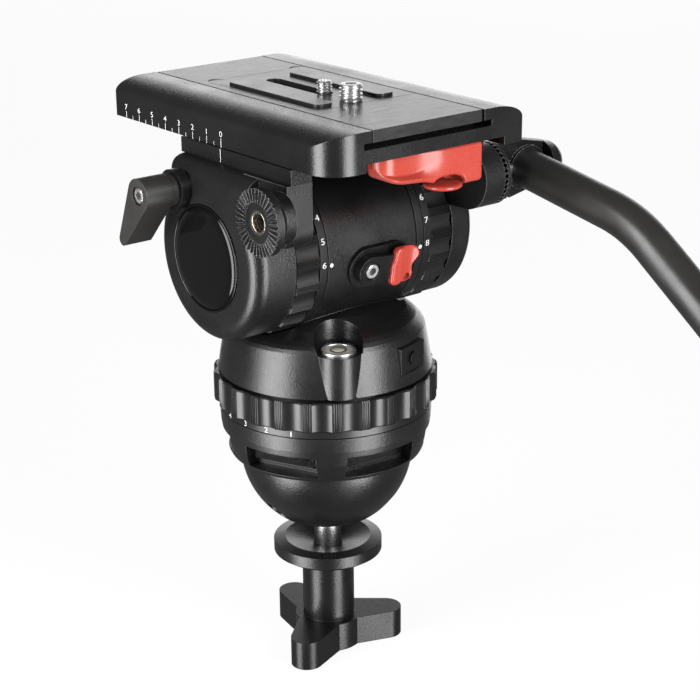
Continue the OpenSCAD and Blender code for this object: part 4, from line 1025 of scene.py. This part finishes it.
def crescent(width, depth):
    """The space between two shallow arcs that share their ends."""
    t = np.linspace(-1, 1, 20)
    upper = np.stack([t * width / 2, depth * (1 - t ** 2)], -1)
    lower = np.stack([t[::-1] * width / 2, 0.35 * depth * (1 - t[::-1] ** 2)], -1)
    flat = np.concatenate([upper, lower[1:-1]])
    return flat - [0, depth / 2], [list(range(len(flat)))[::-1]]


ink_piece("plate_lines_and_notch_shade", [
    (bar(0.3, 47.5), -23.4, 20.0), (bar(PLATE_LINE, 42.0), -21.7, 18.0),
    (bar(36.0, PLATE_LINE), 2.0, 46.2), (bar(47.0, PLATE_LINE), 3.6, -28.6),
    # Painted shade: dark crescents where the finger notches lie.
    (crescent(8.5, 3.4), -18.9, NOTCH_Y), (crescent(7.5, 3.2), 23.4, NOTCH_Y)],
    plate_face, "plate", dark_print_and_shade)

# %% [markdown]
# ## The bubble level
# Under the bezel lies a small round vial. A thin dark circle and a bubble with a
# bright rim tell the eye that it is a level, so both are added on its glass.

# %% Level ring, glass, circle and bubble
GLASS, GLASS_R = 0.7, 6.2
low, high = box_mm("level_vial")
vial_xy, level_z = (low + high)[:2] / 2, high[2] - 1.6
cap, crown = np.linspace(0, np.pi, 14), np.linspace(0, np.pi / 2, 10)
bezel = np.concatenate([[(6.3, 0), (7.3, 0)],
                        np.stack([6.8 + 0.5 * np.cos(cap), 0.65 + 0.45 * np.sin(cap)], -1)])
glass = [(0, -5), (GLASS_R, -5), (GLASS_R, GLASS), (0, GLASS + 0.12)]
ring_line = [(3.0, GLASS), (3.0, GLASS + 0.14), (3.5, GLASS + 0.14), (3.5, GLASS)]
dome = np.concatenate([[(0, GLASS)],
                       np.stack([2.3 * np.cos(crown), GLASS + 0.05 + 0.25 * np.sin(crown)], -1)])
make_piece("level_ring", looped(lathe_z(bezel, vial_xy, level_z)), "pan", silver, ["level_bezel"])
make_piece("level_glass", spun(lathe_z(glass, vial_xy, level_z)), "pan", vial_glass, ["level_vial"])
make_piece("level_circle", looped(lathe_z(ring_line, vial_xy, level_z)), "pan", dark_print_and_shade)
make_piece("level_bubble", spun(lathe_z(dome, vial_xy, level_z)), "pan", bubble)

# %% [markdown]
# ## The handle's grip
# The rubber sleeve at the end of the handle has shallow rings for the hand. It is a
# lathe profile, with a cosine wave between its two plain ends. The handle's crank and
# tube lead from the clamp to the place where the sleeve begins.

# %% Where the grip begins
CLAMP, CRANK, TUBE = np.array([[74.95, -42.0, 24.5], [0, -52.0, -60.0], [0, -290.0, 60.0]])
SLOPE, BEND = math.radians(9.6), math.radians(9.6 + 25)


def turn_x(v, a):
    """A vector turned about the X axis."""
    c, s = np.cos(a), np.sin(a)
    return np.array([v[0], v[1] * c - v[2] * s, v[1] * s + v[2] * c])


tube_end = CLAMP + turn_x(CRANK, SLOPE) + turn_x(TUBE, BEND)
grip_along, grip_up = (turn_x(np.array(v), BEND) for v in ([0, 1.0, 0], [0, 0, 1.0]))
print("grip begins at", np.round(tube_end, 1))

# %% Handle grip
GRIP_R, GRIP_BORE, RIB, RIB_STEP, RIB_FIRST, RIB_LAST = 14.0, 8.32, 0.55, 4.8, 9, 106
h = np.linspace(-1, 113, 600)
ribs = np.clip((h - RIB_FIRST) / 2, 0, 1) * np.clip((RIB_LAST - h) / 2, 0, 1)
side = GRIP_R - RIB * ribs * (1 - np.cos(2 * np.pi * h / RIB_STEP)) ** 2 / 2
grip = np.concatenate([
    [(0, -5), (6, -5), (9.6, -4.9), (11.4, -4.3), (12.9, -3.2), (13.7, -2.2)],
    np.stack([side, h], -1),
    [(13.6, 114.6), (12.6, 117), (11.4, 120), (10.2, 123.4), (9.9, 125), (GRIP_BORE, 125),
     (GRIP_BORE, 0.2), (0, 0.2)]])
r, z = grip.T[:, :, None, None]
around = circle(64)[:, None]
spokes = np.cos(around) * np.array([1.0, 0, 0]) + np.sin(around) * grip_up
place = tube_end + z * grip_along + r * spokes
make_piece("grip_sleeve", spun(tilt(place[..., 0], place[..., 1], place[..., 2])), "handle", rubber,
           ["handle_grip"])
